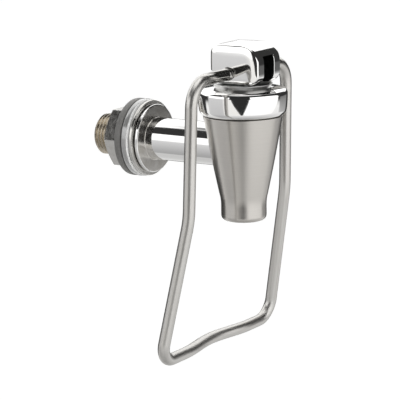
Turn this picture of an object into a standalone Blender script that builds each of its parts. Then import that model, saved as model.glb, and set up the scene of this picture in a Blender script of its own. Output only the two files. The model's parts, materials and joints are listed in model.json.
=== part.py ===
"""Push-back beverage dispenser spigot, built as an assembly of separate pieces.

The origin is on the shank's axis where it passes through the container wall.
+Y points into the container, the outlet hangs at -Y, and +Z is up.
The body's own axis is vertical and lies BODY_REACH in front of the wall.
"""
import math

import bmesh
import bpy
from mathutils import Matrix, Vector

MM = 0.001

# Fits and facets
CLEARANCE = 0.3 * MM          # running or seating gap between two pieces
MERGE = 0.02 * MM             # vertices nearer than this are one vertex
ROUND_STEPS = 48              # facets round the large turned pieces
SMALL_STEPS = 32              # facets round the small turned pieces
HOLE_STEPS = 24               # facets round the shank's port
PIN_STEPS = 16                # facets round pins, screws and their holes
ARC_STEPS = 5                 # facets in a rounded corner of a profile
EDGE_STEPS = 3                # facets in a small broken edge
BULGE_STEPS = 6               # facets along a bulged line
LIP_STEPS = 8                 # facets round the bonnet's rolled lip
CORNER_TURN = 9.0             # degrees turned by one facet of an outline's corner
BEND_TURN = 10.0              # degrees turned by one facet of a bend in the wire
SMOOTH_ANGLE = 35.0           # degrees; sharper edges stay sharp

# Stem, its pin and the return spring
STEM_RADIUS = 3.0 * MM
PIN_RADIUS = 1.5 * MM
PIN_CHAMFER = 0.2 * MM
EYE_WALL = 1.5 * MM
EYE_WIDTH = 6.6 * MM
EYE_NECK_HALF = 2.6 * MM      # half thickness of the flat tab below the eye
COLLAR_THICKNESS = 0.9 * MM
NECK_RADIUS = 1.7 * MM
NECK_LENGTH = 1.6 * MM
FOOT_STEP = 1.0 * MM          # how far the foot stands out from its neck
FOOT_THICKNESS = 1.5 * MM
FOOT_CHAMFER = 0.3 * MM
SPRING_WIRE = 0.9 * MM
SPRING_PLAY = 0.6 * MM        # stem to the inside of the spring
SPRING_TURNS = 7
SPRING_POINTS = 14            # points in one turn of the spring
CLOSED_TURN = 1.1             # rise of a closed end turn, in wire thicknesses
STEM_WASHER_SHELF = 1.3 * MM  # washer's rim beyond the spring
STEM_WASHER_THICKNESS = 0.8 * MM

# Seat cup
CUP_PLAY = 0.6 * MM           # collar to the inside of the cup
CUP_WALL = 1.4 * MM
CUP_FLANGE_THICKNESS = 1.0 * MM
CUP_NOSE_WALL = 1.6 * MM      # rubber round the stem's foot
CUP_NOSE_HEIGHT = 5.9 * MM    # bottom of the nose to the cup's floor
CUP_SEATING = 1.2 * MM        # radial width that bears on the seat

# Shank and what is clamped on it
BODY_REACH = 45.7 * MM        # container wall to the body's axis
TUBE_RADIUS = 8.1 * MM
SHANK_BORE = 4.2 * MM
NIPPLE_WALL = 1.0 * MM        # wall of the shank's end that enters the body
FLANGE_RADIUS = 13.2 * MM
FLANGE_THICKNESS = 1.6 * MM
FLANGE_EDGE = 0.45 * MM
THREAD_MAJOR = 7.94 * MM
THREAD_PITCH = 1.41 * MM
THREAD_PITCH_LINE = 0.325     # crest to pitch line, in pitches
THREAD_CHAMFER = 0.9 * MM
SHANK_TAIL = 17.5 * MM        # container wall to the shank's threaded end
GASKET_RADIUS = 15.0 * MM
FRONT_GASKET_EDGE = 1.1 * MM
FRONT_GASKET_THICKNESS = 3.1 * MM
REAR_GASKET_EDGE = 0.6 * MM
REAR_GASKET_THICKNESS = 2.9 * MM
WASHER_RADIUS = 14.6 * MM
WASHER_THICKNESS = 1.3 * MM
WASHER_EDGE = 0.3 * MM
NUT_FLATS = 21.6 * MM
NUT_THICKNESS = 6.6 * MM
NUT_CHAMFER = 0.8 * MM

# Valve body
OUTLET_STEP = 0.5 * MM        # seat bore to the wider outlet bore
OUTLET_LIP = 0.5 * MM         # flat ring between the outlet bore and the rounded edge
OUTLET_EDGE = 2.0 * MM
OUTLET_LENGTH = 5.9 * MM
OUTLET_FLARE = 0.6 * MM       # cone's foot beyond the outlet's radius
FLARE_HEIGHT = 4.3 * MM
CONE_HEIGHT = 29.8 * MM
CONE_BULGE = 0.15 * MM
SEAT_RISE = 6.2 * MM          # cone's foot to the top of the seat
SEAT_MARGIN = 1.2 * MM        # top of the seat beyond the cup
SEAT_LAND = 2.0 * MM
WATERWAY = 3.1 * MM           # cup to the chamber's wall
LEDGE_WIDTH = 2.4 * MM        # shelf that carries the cup's flange
LEDGE_ROOF = 1.1 * MM         # shank's port to the ledge
BODY_THREAD_DEPTH = 5.5 * MM
BODY_WALL = 2.7 * MM          # wall outside the bonnet's skirt

# Bonnet
BAND_OVERHANG = 1.85 * MM     # widest part of the band beyond the top of the cone
BAND_HEIGHT = 9.5 * MM
BAND_SHOULDER = 6.0 * MM      # radius of the band's rounded shoulder
SHOULDER_TURN = 22.0          # degrees the shoulder leans in at the rim
FLANK_TURN = 8.0              # degrees the flank leans in where the lip starts
BAND_LIP = 2.7 * MM           # radius that rolls the band in above the cone
RIM_EDGE = 0.4 * MM
CROWN_RISE = 0.7 * MM
CROWN_BULGE = 0.14 * MM
PAD_RADIUS = 11.2 * MM
PAD_HEIGHT = 1.7 * MM
PAD_UNDERCUT = 0.8 * MM       # pad's foot inside its top edge
PAD_EDGE = 0.3 * MM
BONNET_ROOF = 4.4 * MM
POCKET_PLAY = 2.8 * MM        # stem washer to the wall of its pocket

# Rocking block
PIVOT_SET_BACK = 0.8 * MM     # pivot behind the body's axis
PIVOT_HEIGHT = 3.95 * MM      # pivot above the block's flat foot
BLOCK_FRONT = 12.4 * MM       # pivot to the block's front face
BLOCK_REAR = 8.15 * MM        # pivot to the block's rear face
BLOCK_HEIGHT = 14.7 * MM
FRONT_TOP_RADIUS = 7.0 * MM
FRONT_FOOT_RADIUS = 4.0 * MM
REAR_TOP_RADIUS = 3.5 * MM
REAR_FOOT_RADIUS = 3.0 * MM
BLOCK_EDGE = 0.45 * MM
BLOCK_EDGE_ANGLE = 50.0       # degrees; sharper edges are broken
SLOT_PLAY = 0.4 * MM          # stem's eye to each side of the slot
SLOT_ROOF = 6.6 * MM          # pivot to the top of the slot
SLOT_DEPTH_PLAY = 1.2 * MM    # stem's eye to the back of the slot
SLOT_CORNER = 2.0 * MM
CHEEK_WALL = 1.65 * MM        # slot to the floor of a wire socket
SOCKET_DEPTH = 3.9 * MM       # how far each end of the wire enters the block
SCREW_RADIUS = 1.25 * MM
SCREW_RECESS = 0.97 * MM      # screw's end below the block's rear face
SCREW_KEY = 1.3 * MM          # across the flats of the screw's hexagonal socket

# Wire bail
WIRE_RADIUS = 2.28 * MM
LEG_TOP_HALF = 34.1 * MM      # centre plane to a leg just under its shoulder
LEG_KNEE_HALF = 35.1 * MM
LEG_FOOT_HALF = 40.0 * MM
KNEE_DROP = 50.5 * MM         # pivot to the bend in the legs
KNEE_BACK = 1.5 * MM
FOOT_DROP = 105.2 * MM        # pivot to the bottom bar
FOOT_BACK = 12.0 * MM
BOW_DEPTH = 2.8 * MM          # middle of the bar behind its ends
BAR_STRAIGHT = 16.0 * MM      # straight part at each end of the bar
SHOULDER_BEND = 9.5 * MM
KNEE_BEND = 45.0 * MM
FOOT_BEND = 7.5 * MM
WIRE_SIDES = 3                # bevel resolution of the bent wire
BOW_POINTS = 8                # points along half of the bowed bar

# Finishes: colour, metallic, roughness
POLISHED = ((0.78, 0.78, 0.78), 1.0, 0.06)
BRUSHED = ((0.62, 0.60, 0.57), 1.0, 0.32)
TURNED_STEEL = ((0.60, 0.60, 0.60), 1.0, 0.22)
STAMPED_STEEL = ((0.55, 0.52, 0.47), 1.0, 0.30)
DARK_STEEL = ((0.25, 0.25, 0.26), 1.0, 0.40)
SATIN_WIRE = ((0.52, 0.505, 0.48), 1.0, 0.28)
LIGHT_GASKET = ((0.34, 0.34, 0.335), 0.0, 0.35)
DARK_GASKET = ((0.17, 0.168, 0.16), 0.0, 0.45)
SEAT_RUBBER = ((0.82, 0.80, 0.76), 0.0, 0.50)

# Radii that follow, from the stem outwards, so that every piece keeps its wall
COIL_RADIUS = STEM_RADIUS + SPRING_PLAY + SPRING_WIRE / 2
COLLAR_RADIUS = COIL_RADIUS + SPRING_WIRE / 2 + CLEARANCE
CUP_CAVITY = COLLAR_RADIUS + CUP_PLAY
CUP_RADIUS = CUP_CAVITY + CUP_WALL
FOOT_RADIUS = NECK_RADIUS + FOOT_STEP
CUP_NOSE_RADIUS = FOOT_RADIUS + CLEARANCE + CUP_NOSE_WALL
SEAT_BORE = CUP_RADIUS - CUP_SEATING
SEAT_TOP_RADIUS = CUP_RADIUS + SEAT_MARGIN
OUTLET_BORE = SEAT_BORE + OUTLET_STEP
OUTLET_RADIUS = OUTLET_BORE + OUTLET_LIP + OUTLET_EDGE
CONE_FOOT_RADIUS = OUTLET_RADIUS + OUTLET_FLARE
CHAMBER_TOP_RADIUS = CUP_RADIUS + WATERWAY
BODY_THREAD_RADIUS = CHAMBER_TOP_RADIUS + LEDGE_WIDTH
SKIRT_RADIUS = BODY_THREAD_RADIUS - CLEARANCE
CONE_TOP_RADIUS = BODY_THREAD_RADIUS + BODY_WALL
BAND_RADIUS = CONE_TOP_RADIUS + BAND_OVERHANG
STEM_WASHER_RADIUS = COIL_RADIUS + SPRING_WIRE / 2 + STEM_WASHER_SHELF
SPRING_POCKET_RADIUS = STEM_WASHER_RADIUS + POCKET_PLAY
NIPPLE_RADIUS = SHANK_BORE + NIPPLE_WALL
THREAD_RADIUS = THREAD_MAJOR - THREAD_PITCH_LINE * THREAD_PITCH
EYE_RADIUS = PIN_RADIUS + CLEARANCE + EYE_WALL

# Heights that follow, from the shank's axis
LEDGE_Z = NIPPLE_RADIUS + CLEARANCE + LEDGE_ROOF
CONE_TOP_Z = LEDGE_Z + BODY_THREAD_DEPTH
CONE_FOOT_Z = CONE_TOP_Z - CONE_HEIGHT
OUTLET_TOP_Z = CONE_FOOT_Z - FLARE_HEIGHT
OUTLET_Z = OUTLET_TOP_Z - OUTLET_LENGTH
SEAT_TOP_Z = CONE_FOOT_Z + SEAT_RISE
BAND_BOTTOM_Z = CONE_TOP_Z + CLEARANCE
PAD_Z = BAND_BOTTOM_Z + BAND_HEIGHT + CROWN_RISE + PAD_HEIGHT
CUP_FLANGE_BOTTOM = LEDGE_Z + CLEARANCE
CUP_FLANGE_TOP = CUP_FLANGE_BOTTOM + CUP_FLANGE_THICKNESS
SKIRT_Z = CUP_FLANGE_TOP + CLEARANCE
ROOF_Z = PAD_Z - BONNET_ROOF
BLOCK_FOOT_Z = PAD_Z + CLEARANCE
PIVOT_Z = BLOCK_FOOT_Z + PIVOT_HEIGHT

# Places that follow along the shank and in the block
BODY_Y = -BODY_REACH
PIVOT_Y = BODY_Y + PIVOT_SET_BACK
FRONT_GASKET_FACE = -(CLEARANCE / 2 + FRONT_GASKET_THICKNESS)
WASHER_FACE = FRONT_GASKET_FACE - CLEARANCE - WASHER_THICKNESS
FLANGE_REAR = WASHER_FACE - CLEARANCE
REAR_GASKET_FACE = CLEARANCE / 2 + REAR_GASKET_THICKNESS
NUT_FACE = REAR_GASKET_FACE + CLEARANCE
SLOT_WIDTH = EYE_WIDTH + 2 * SLOT_PLAY
SLOT_BACK = EYE_RADIUS + SLOT_DEPTH_PLAY
SOCKET_FLOOR = SLOT_WIDTH / 2 + CHEEK_WALL
BLOCK_WIDTH = 2 * (SOCKET_FLOOR + SOCKET_DEPTH)
SCREW_START = WIRE_RADIUS + CLEARANCE
SCREW_LENGTH = BLOCK_REAR - SCREW_RECESS - SCREW_START


def clear_scene():
    for item in list(bpy.data.objects):
        bpy.data.objects.remove(item, do_unlink=True)


def new_collection(name):
    group = bpy.data.collections.new(name)
    bpy.context.scene.collection.children.link(group)
    return group


def finish_material(name, finish):
    colour, metallic, roughness = finish
    material = bpy.data.materials.new(name)
    material.use_nodes = True
    shader = material.node_tree.nodes["Principled BSDF"]
    shader.inputs["Base Color"].default_value = (*colour, 1.0)
    shader.inputs["Metallic"].default_value = metallic
    shader.inputs["Roughness"].default_value = roughness
    return material


clear_scene()
PARTS = new_collection("beverage_dispenser_spigot")
CUTTERS = new_collection("cutters")
FACING_UP = Matrix.Identity(4)
ALONG_SHANK = Matrix.Rotation(-math.pi / 2, 4, "X")
SIDEWAYS = Matrix.Rotation(math.pi / 2, 4, "Z") @ Matrix.Rotation(math.pi / 2, 4, "X")


def place(item, spot, turn=FACING_UP):
    item.matrix_world = Matrix.Translation(Vector(spot)) @ turn


def keep_as_part(item, name, finish):
    item.name = name
    item.data.name = name
    item.data.materials.clear()
    item.data.materials.append(finish_material(name + "_finish", finish))
    PARTS.objects.link(item)
    return item


def keep_as_cutter(item):
    item.hide_render = True
    item.display_type = "WIRE"
    CUTTERS.objects.link(item)
    return item


def arc(centre, radius, start_deg, end_deg, steps=ARC_STEPS):
    """Points of a circular arc, as pairs of coordinates."""
    points = []
    for step in range(steps + 1):
        angle = math.radians(start_deg + (end_deg - start_deg) * step / steps)
        points.append((centre[0] + radius * math.cos(angle), centre[1] + radius * math.sin(angle)))
    return points


def bulged(start, end, rise, steps=BULGE_STEPS):
    """Points from start to end along a shallow parabola that stands out by rise."""
    along = Vector(end) - Vector(start)
    outward = Vector((-along.y, along.x)).normalized()
    points = []
    for step in range(steps + 1):
        share = step / steps
        point = Vector(start) + along * share + outward * rise * 4 * share * (1 - share)
        points.append((point.x, point.y))
    return points


def round_corners(corners):
    """Replace each (x, y, radius) corner of a closed outline with an arc of that radius."""
    points = []
    for index, (x, y, radius) in enumerate(corners):
        here = Vector((x, y))
        before = Vector(corners[index - 1][:2])
        after = Vector(corners[(index + 1) % len(corners)][:2])
        if radius == 0:
            points.append((x, y))
            continue
        inward = (before - here).normalized()
        outward = (after - here).normalized()
        half_angle = inward.angle(outward) / 2
        centre = here + (inward + outward).normalized() * radius / math.sin(half_angle)
        start = here + inward * radius / math.tan(half_angle) - centre
        sweep = start.angle_signed(here + outward * radius / math.tan(half_angle) - centre)
        steps = max(EDGE_STEPS, round(abs(math.degrees(sweep)) / CORNER_TURN))
        for step in range(steps + 1):
            turned_by = Matrix.Rotation(-sweep * step / steps, 2)
            point = centre + turned_by @ start
            points.append((point.x, point.y))
    return points


def turned(profile, steps):
    """Revolve a closed (radius, height) profile about local Z with a Screw modifier."""
    mesh = bpy.data.meshes.new("turned")
    form = bmesh.new()
    verts = [form.verts.new((radius, 0, height)) for radius, height in profile]
    on_axis = profile[0][0] == 0 and profile[-1][0] == 0
    for index in range(len(verts) - 1):
        form.edges.new((verts[index], verts[index + 1]))
    if not on_axis:
        form.edges.new((verts[-1], verts[0]))
    form.to_mesh(mesh)
    form.free()
    item = bpy.data.objects.new("turned", mesh)
    screw = item.modifiers.new("Turn", "SCREW")
    screw.axis = "Z"
    screw.angle = math.tau
    screw.steps = steps
    screw.render_steps = steps
    screw.use_merge_vertices = True
    screw.merge_threshold = MERGE
    screw.use_smooth_shade = True
    return item


def extruded(outline, width):
    """A flat outline in local XY, extruded by width along local Z, as a closed mesh."""
    curve = bpy.data.curves.new("outline", "CURVE")
    curve.dimensions = "2D"
    curve.fill_mode = "BOTH"
    curve.extrude = width / 2
    spline = curve.splines.new("POLY")
    spline.points.add(len(outline) - 1)
    for point, (x, y) in zip(spline.points, outline):
        point.co = (x, y, 0, 1)
    spline.use_cyclic_u = True
    return welded_mesh(curve)


def bent_wire(points, radius, resolution):
    """A round wire along a polyline, with filled ends, as a closed mesh."""
    curve = bpy.data.curves.new("wire", "CURVE")
    curve.dimensions = "3D"
    curve.bevel_depth = radius
    curve.bevel_resolution = resolution
    curve.use_fill_caps = True
    spline = curve.splines.new("POLY")
    spline.points.add(len(points) - 1)
    for point, spot in zip(spline.points, points):
        point.co = (*spot, 1)
    return welded_mesh(curve)


def welded_mesh(curve):
    """Turn a curve into a mesh object whose loose caps are welded on."""
    source = bpy.data.objects.new("source", curve)
    bpy.context.scene.collection.objects.link(source)
    graph = bpy.context.evaluated_depsgraph_get()
    mesh = bpy.data.meshes.new_from_object(source.evaluated_get(graph))
    bpy.data.objects.remove(source, do_unlink=True)
    form = bmesh.new()
    form.from_mesh(mesh)
    bmesh.ops.remove_doubles(form, verts=form.verts, dist=MERGE)
    bmesh.ops.recalc_face_normals(form, faces=form.faces)
    form.to_mesh(mesh)
    form.free()
    return bpy.data.objects.new("welded", mesh)


def prism(sides, circumradius, height):
    """A regular prism about local Z with two flats across local Y."""
    mesh = bpy.data.meshes.new("prism")
    form = bmesh.new()
    bmesh.ops.create_cone(form, cap_ends=True, segments=sides, radius1=circumradius,
                          radius2=circumradius, depth=height)
    form.to_mesh(mesh)
    form.free()
    return bpy.data.objects.new("prism", mesh)


def rod(radius, length, steps=SMALL_STEPS):
    """A plain round cutter or pin about local Z, from -length/2 to +length/2."""
    half = length / 2
    return turned([(0, half), (radius, half), (radius, -half), (0, -half)], steps)


def cut(item, cutter, operation="DIFFERENCE"):
    boolean = item.modifiers.new("Cut", "BOOLEAN")
    boolean.operation = operation
    boolean.solver = "EXACT"
    boolean.object = cutter


def smooth(item):
    item.data.shade_smooth()
    item.data.set_sharp_from_angle(angle=math.radians(SMOOTH_ANGLE))


def cone_wall(offset=0.0):
    """The cone's outer line from its top to the outlet's edge, moved out by offset."""
    top = (CONE_TOP_RADIUS + offset, CONE_TOP_Z)
    foot = (CONE_FOOT_RADIUS + offset, CONE_FOOT_Z)
    wall = bulged(top, foot, CONE_BULGE)
    neck = bulged(foot, (OUTLET_RADIUS + offset, OUTLET_TOP_Z), -CONE_BULGE, EDGE_STEPS)
    return wall + neck[1:]


def seat_height(radius):
    """Height of the 45 degree seat, or of its continuation, at a radius."""
    return SEAT_TOP_Z - (SEAT_TOP_RADIUS - radius)


def build_valve_body():
    edge = arc((OUTLET_RADIUS - OUTLET_EDGE, OUTLET_Z + OUTLET_EDGE), OUTLET_EDGE, 0, -90)
    outside = cone_wall() + edge
    inside = [
        (OUTLET_BORE, OUTLET_Z),
        (SEAT_BORE, seat_height(SEAT_BORE) - SEAT_LAND),
        (SEAT_BORE, seat_height(SEAT_BORE)),
        (SEAT_TOP_RADIUS, SEAT_TOP_Z),
        (CHAMBER_TOP_RADIUS, LEDGE_Z),
        (BODY_THREAD_RADIUS, LEDGE_Z),
        (BODY_THREAD_RADIUS, CONE_TOP_Z),
    ]
    body = turned(outside + inside, ROUND_STEPS)
    place(body, (0, BODY_Y, 0))
    port_length = CONE_TOP_RADIUS
    port = keep_as_cutter(rod(NIPPLE_RADIUS + CLEARANCE, port_length, HOLE_STEPS))
    place(port, (0, BODY_Y + CHAMBER_TOP_RADIUS / 2 + port_length / 2, 0), ALONG_SHANK)
    cut(body, port)
    return keep_as_part(body, "valve_body", BRUSHED)


def band_line(top_z):
    """The band's outer line: rim, shoulder, flank and lip, each tangent to the next."""
    lean = math.radians(SHOULDER_TURN)
    tuck = math.radians(FLANK_TURN)
    inset = BAND_SHOULDER - RIM_EDGE
    widest_z = top_z - RIM_EDGE - inset * math.sin(lean)
    shoulder_centre = (BAND_RADIUS - BAND_SHOULDER, widest_z)
    rim_centre = (shoulder_centre[0] + inset * math.cos(lean), top_z - RIM_EDGE)
    lip_z = BAND_BOTTOM_Z + BAND_LIP
    flank_inset = (widest_z - lip_z) / math.sin(tuck)
    flank_radius = BAND_LIP + flank_inset
    flank_centre = (BAND_RADIUS - flank_radius, widest_z)
    lip_centre = (flank_centre[0] + flank_inset * math.cos(tuck), lip_z)
    rim = arc(rim_centre, RIM_EDGE, 90, SHOULDER_TURN, EDGE_STEPS)
    shoulder = arc(shoulder_centre, BAND_SHOULDER, SHOULDER_TURN, 0)
    flank = arc(flank_centre, flank_radius, 0, -FLANK_TURN, EDGE_STEPS)
    lip = arc(lip_centre, BAND_LIP, -FLANK_TURN, -90, LIP_STEPS)
    return rim + shoulder[1:] + flank[1:] + lip[1:]


def build_bonnet():
    top_z = BAND_BOTTOM_Z + BAND_HEIGHT
    pad_foot = (PAD_RADIUS - PAD_UNDERCUT, top_z + CROWN_RISE)
    bore = STEM_RADIUS + CLEARANCE
    pad_edge = arc((PAD_RADIUS - PAD_EDGE, PAD_Z - PAD_EDGE), PAD_EDGE, 90, 0, EDGE_STEPS)
    pad = [(bore, PAD_Z)] + pad_edge
    band = band_line(top_z)
    crown = bulged(pad_foot, band[0], CROWN_BULGE, EDGE_STEPS)
    inside = [
        (SKIRT_RADIUS, BAND_BOTTOM_Z),
        (SKIRT_RADIUS, SKIRT_Z),
        (SPRING_POCKET_RADIUS, SKIRT_Z),
        (SPRING_POCKET_RADIUS, ROOF_Z),
        (bore, ROOF_Z),
    ]
    bonnet = turned(pad + crown + band[1:] + inside, ROUND_STEPS)
    place(bonnet, (0, BODY_Y, 0))
    return keep_as_part(bonnet, "bonnet", POLISHED)


def build_shank():
    """Tube, flange and threaded end, coped to the cone and entering it with a nipple."""
    start = BODY_Y + SEAT_TOP_RADIUS
    flange_front = FLANGE_REAR - FLANGE_THICKNESS
    flange_rim = FLANGE_RADIUS - FLANGE_EDGE
    profile = [
        (0, SHANK_TAIL),
        (THREAD_RADIUS - THREAD_CHAMFER, SHANK_TAIL),
        (THREAD_RADIUS, SHANK_TAIL - THREAD_CHAMFER),
        (THREAD_RADIUS, FLANGE_REAR),
        (flange_rim, FLANGE_REAR),
        (FLANGE_RADIUS, FLANGE_REAR - FLANGE_EDGE),
        (FLANGE_RADIUS, flange_front + FLANGE_EDGE),
        (flange_rim, flange_front),
        (TUBE_RADIUS, flange_front),
        (TUBE_RADIUS, start),
        (0, start),
    ]
    shank = turned(profile, ROUND_STEPS)
    place(shank, (0, 0, 0), ALONG_SHANK)
    cope_line = [(0, CONE_TOP_Z)] + cone_wall(CLEARANCE) + [(0, OUTLET_TOP_Z)]
    cope = keep_as_cutter(turned(cope_line, ROUND_STEPS))
    place(cope, (0, BODY_Y, 0))
    cut(shank, cope)
    nipple_start = BODY_Y + CHAMBER_TOP_RADIUS
    nipple_end = BODY_Y + CONE_TOP_RADIUS + TUBE_RADIUS
    nipple = keep_as_cutter(rod(NIPPLE_RADIUS, nipple_end - nipple_start))
    place(nipple, (0, (nipple_start + nipple_end) / 2, 0), ALONG_SHANK)
    cut(shank, nipple, "UNION")
    bore_length = SHANK_TAIL - BODY_Y
    bore = keep_as_cutter(rod(SHANK_BORE, 2 * bore_length))
    place(bore, (0, SHANK_TAIL / 2, 0), ALONG_SHANK)
    cut(shank, bore)
    return keep_as_part(shank, "shank", POLISHED)


def build_ring(name, outer, front, thickness, edge, finish):
    """A flat ring on the shank's thread whose outer corners are rounded by edge."""
    inner = THREAD_MAJOR + CLEARANCE
    rear = front + thickness
    profile = [(inner, rear)]
    profile += arc((outer - edge, rear - edge), edge, 90, 0, EDGE_STEPS)
    profile += arc((outer - edge, front + edge), edge, 0, -90, EDGE_STEPS)
    profile += [(inner, front)]
    ring = turned(profile, ROUND_STEPS)
    place(ring, (0, 0, 0), ALONG_SHANK)
    return keep_as_part(ring, name, finish)


def build_shank_rings():
    build_ring("front_washer", WASHER_RADIUS, WASHER_FACE, WASHER_THICKNESS,
               WASHER_EDGE, STAMPED_STEEL)
    build_ring("front_gasket", GASKET_RADIUS, FRONT_GASKET_FACE, FRONT_GASKET_THICKNESS,
               FRONT_GASKET_EDGE, LIGHT_GASKET)
    build_ring("rear_gasket", GASKET_RADIUS, CLEARANCE / 2, REAR_GASKET_THICKNESS,
               REAR_GASKET_EDGE, DARK_GASKET)


def build_shank_nut():
    corner = NUT_FLATS / 2 / math.cos(math.pi / 6)
    middle = NUT_FACE + NUT_THICKNESS / 2
    nut = prism(6, corner, NUT_THICKNESS)
    flats_up = Matrix.Rotation(math.pi / 2, 4, "Z")
    place(nut, (0, middle, 0), ALONG_SHANK @ flats_up)
    half = NUT_THICKNESS / 2 + CLEARANCE
    face_radius = NUT_FLATS / 2 - CLEARANCE
    waist = corner + CLEARANCE
    drop = half - NUT_CHAMFER
    lens_line = [(0, half), (face_radius, half), (waist, drop), (waist, -drop),
                 (face_radius, -half), (0, -half)]
    lens = keep_as_cutter(turned(lens_line, ROUND_STEPS))
    place(lens, (0, middle, 0), ALONG_SHANK)
    cut(nut, lens, "INTERSECT")
    bore = keep_as_cutter(rod(THREAD_RADIUS + CLEARANCE, 2 * NUT_THICKNESS, ROUND_STEPS))
    place(bore, (0, middle, 0), ALONG_SHANK)
    cut(nut, bore)
    return keep_as_part(nut, "shank_nut", STAMPED_STEEL)


def block_outline():
    """Side view of the block about its pivot: X is towards the wall, Y is up."""
    foot = -PIVOT_HEIGHT
    top = BLOCK_HEIGHT - PIVOT_HEIGHT
    return round_corners([
        (BLOCK_REAR, foot, REAR_FOOT_RADIUS),
        (BLOCK_REAR, top, REAR_TOP_RADIUS),
        (-BLOCK_FRONT, top, FRONT_TOP_RADIUS),
        (-BLOCK_FRONT, foot, FRONT_FOOT_RADIUS),
    ])


def slot_outline():
    """Side view of the slot, which is open at the block's front and foot."""
    below = -PIVOT_HEIGHT - BLOCK_EDGE
    before = -BLOCK_FRONT - BLOCK_EDGE
    return round_corners([
        (SLOT_BACK, below, 0),
        (SLOT_BACK, SLOT_ROOF, SLOT_CORNER),
        (before, SLOT_ROOF, 0),
        (before, below, 0),
    ])


def socket_line():
    """Half profile of the pin hole with a socket for the wire at each end."""
    wide = WIRE_RADIUS + CLEARANCE
    narrow = PIN_RADIUS + CLEARANCE
    beyond = BLOCK_WIDTH / 2 + BLOCK_EDGE
    return [(0, beyond), (wide, beyond), (wide, SOCKET_FLOOR), (narrow, SOCKET_FLOOR),
            (narrow, -SOCKET_FLOOR), (wide, -SOCKET_FLOOR), (wide, -beyond), (0, -beyond)]


def screw_x(side):
    """The grub screw meets the wire at the middle of its socket."""
    return side * (SOCKET_FLOOR + SOCKET_DEPTH / 2)


def build_lever_block():
    block = extruded(block_outline(), BLOCK_WIDTH)
    place(block, (0, PIVOT_Y, PIVOT_Z), SIDEWAYS)
    edges = block.modifiers.new("Edges", "BEVEL")
    edges.width = BLOCK_EDGE
    edges.segments = 2
    edges.limit_method = "ANGLE"
    edges.angle_limit = math.radians(BLOCK_EDGE_ANGLE)
    slot = keep_as_cutter(extruded(slot_outline(), SLOT_WIDTH))
    place(slot, (0, PIVOT_Y, PIVOT_Z), SIDEWAYS)
    cut(block, slot)
    sockets = keep_as_cutter(turned(socket_line(), SMALL_STEPS))
    place(sockets, (0, PIVOT_Y, PIVOT_Z), SIDEWAYS)
    cut(block, sockets)
    for side in (-1, 1):
        hole_length = BLOCK_REAR + BLOCK_EDGE
        hole = keep_as_cutter(rod(SCREW_RADIUS + CLEARANCE, hole_length, PIN_STEPS))
        place(hole, (screw_x(side), PIVOT_Y + hole_length / 2, PIVOT_Z), ALONG_SHANK)
        cut(block, hole)
    smooth(block)
    return keep_as_part(block, "lever_block", POLISHED)


def build_pivot_pin():
    tip = PIN_RADIUS - PIN_CHAMFER
    shoulder = SOCKET_FLOOR - PIN_CHAMFER
    pin = turned([(0, SOCKET_FLOOR), (tip, SOCKET_FLOOR), (PIN_RADIUS, shoulder),
                  (PIN_RADIUS, -shoulder), (tip, -SOCKET_FLOOR), (0, -SOCKET_FLOOR)], PIN_STEPS)
    place(pin, (0, PIVOT_Y, PIVOT_Z), SIDEWAYS)
    return keep_as_part(pin, "pivot_pin", TURNED_STEEL)


def build_bail_screw(name, side):
    middle = PIVOT_Y + SCREW_START + SCREW_LENGTH / 2
    screw = rod(SCREW_RADIUS, SCREW_LENGTH, PIN_STEPS)
    place(screw, (screw_x(side), middle, PIVOT_Z), ALONG_SHANK)
    key = keep_as_cutter(prism(6, SCREW_KEY / 2 / math.cos(math.pi / 6), SCREW_LENGTH))
    place(key, (screw_x(side), middle + SCREW_LENGTH / 2, PIVOT_Z), ALONG_SHANK)
    cut(screw, key)
    return keep_as_part(screw, name, DARK_STEEL)


def filleted(corners):
    """A path through (x, y, z, bend radius) corners, each bend as a circular arc."""
    path = [Vector(corners[0][:3])]
    for index in range(1, len(corners) - 1):
        here = Vector(corners[index][:3])
        radius = corners[index][3]
        inward = (Vector(corners[index - 1][:3]) - here).normalized()
        outward = (Vector(corners[index + 1][:3]) - here).normalized()
        half_angle = inward.angle(outward) / 2
        centre = here + (inward + outward).normalized() * radius / math.sin(half_angle)
        start = here + inward * radius / math.tan(half_angle) - centre
        end = here + outward * radius / math.tan(half_angle) - centre
        steps = max(EDGE_STEPS, round(math.degrees(start.angle(end)) / BEND_TURN))
        for step in range(steps + 1):
            spoke = start.normalized().slerp(end.normalized(), step / steps)
            path.append(centre + radius * spoke)
    path.append(Vector(corners[-1][:3]))
    return path


def bail_half_path():
    """Centre line of the wire's right half about the pivot, from socket to bar middle."""
    bow_half = LEG_FOOT_HALF - BAR_STRAIGHT
    path = filleted([
        (SOCKET_FLOOR + CLEARANCE, 0, 0, 0),
        (LEG_TOP_HALF, 0, 0, SHOULDER_BEND),
        (LEG_KNEE_HALF, KNEE_BACK, -KNEE_DROP, KNEE_BEND),
        (LEG_FOOT_HALF, FOOT_BACK, -FOOT_DROP, FOOT_BEND),
        (bow_half, FOOT_BACK, -FOOT_DROP, 0),
    ])
    for step in range(1, BOW_POINTS + 1):
        share = step / BOW_POINTS
        back = FOOT_BACK + BOW_DEPTH * (1 - math.cos(math.pi * share)) / 2
        path.append(Vector((bow_half * (1 - share), back, -FOOT_DROP)))
    return path


def build_wire_bail():
    right = bail_half_path()
    left = [Vector((-spot.x, spot.y, spot.z)) for spot in right[:-1]]
    bail = bent_wire(left + right[::-1], WIRE_RADIUS, WIRE_SIDES)
    place(bail, (0, PIVOT_Y, PIVOT_Z))
    smooth(bail)
    return keep_as_part(bail, "wire_bail", SATIN_WIRE)


def hang_from_pivot(pieces):
    """The pieces that rock together hang from an empty on the pivot's axis."""
    pivot = bpy.data.objects.new("lever_pivot", None)
    PARTS.objects.link(pivot)
    place(pivot, (0, PIVOT_Y, PIVOT_Z))
    for piece in pieces:
        piece.parent = pivot
        piece.matrix_parent_inverse = pivot.matrix_world.inverted()


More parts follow.
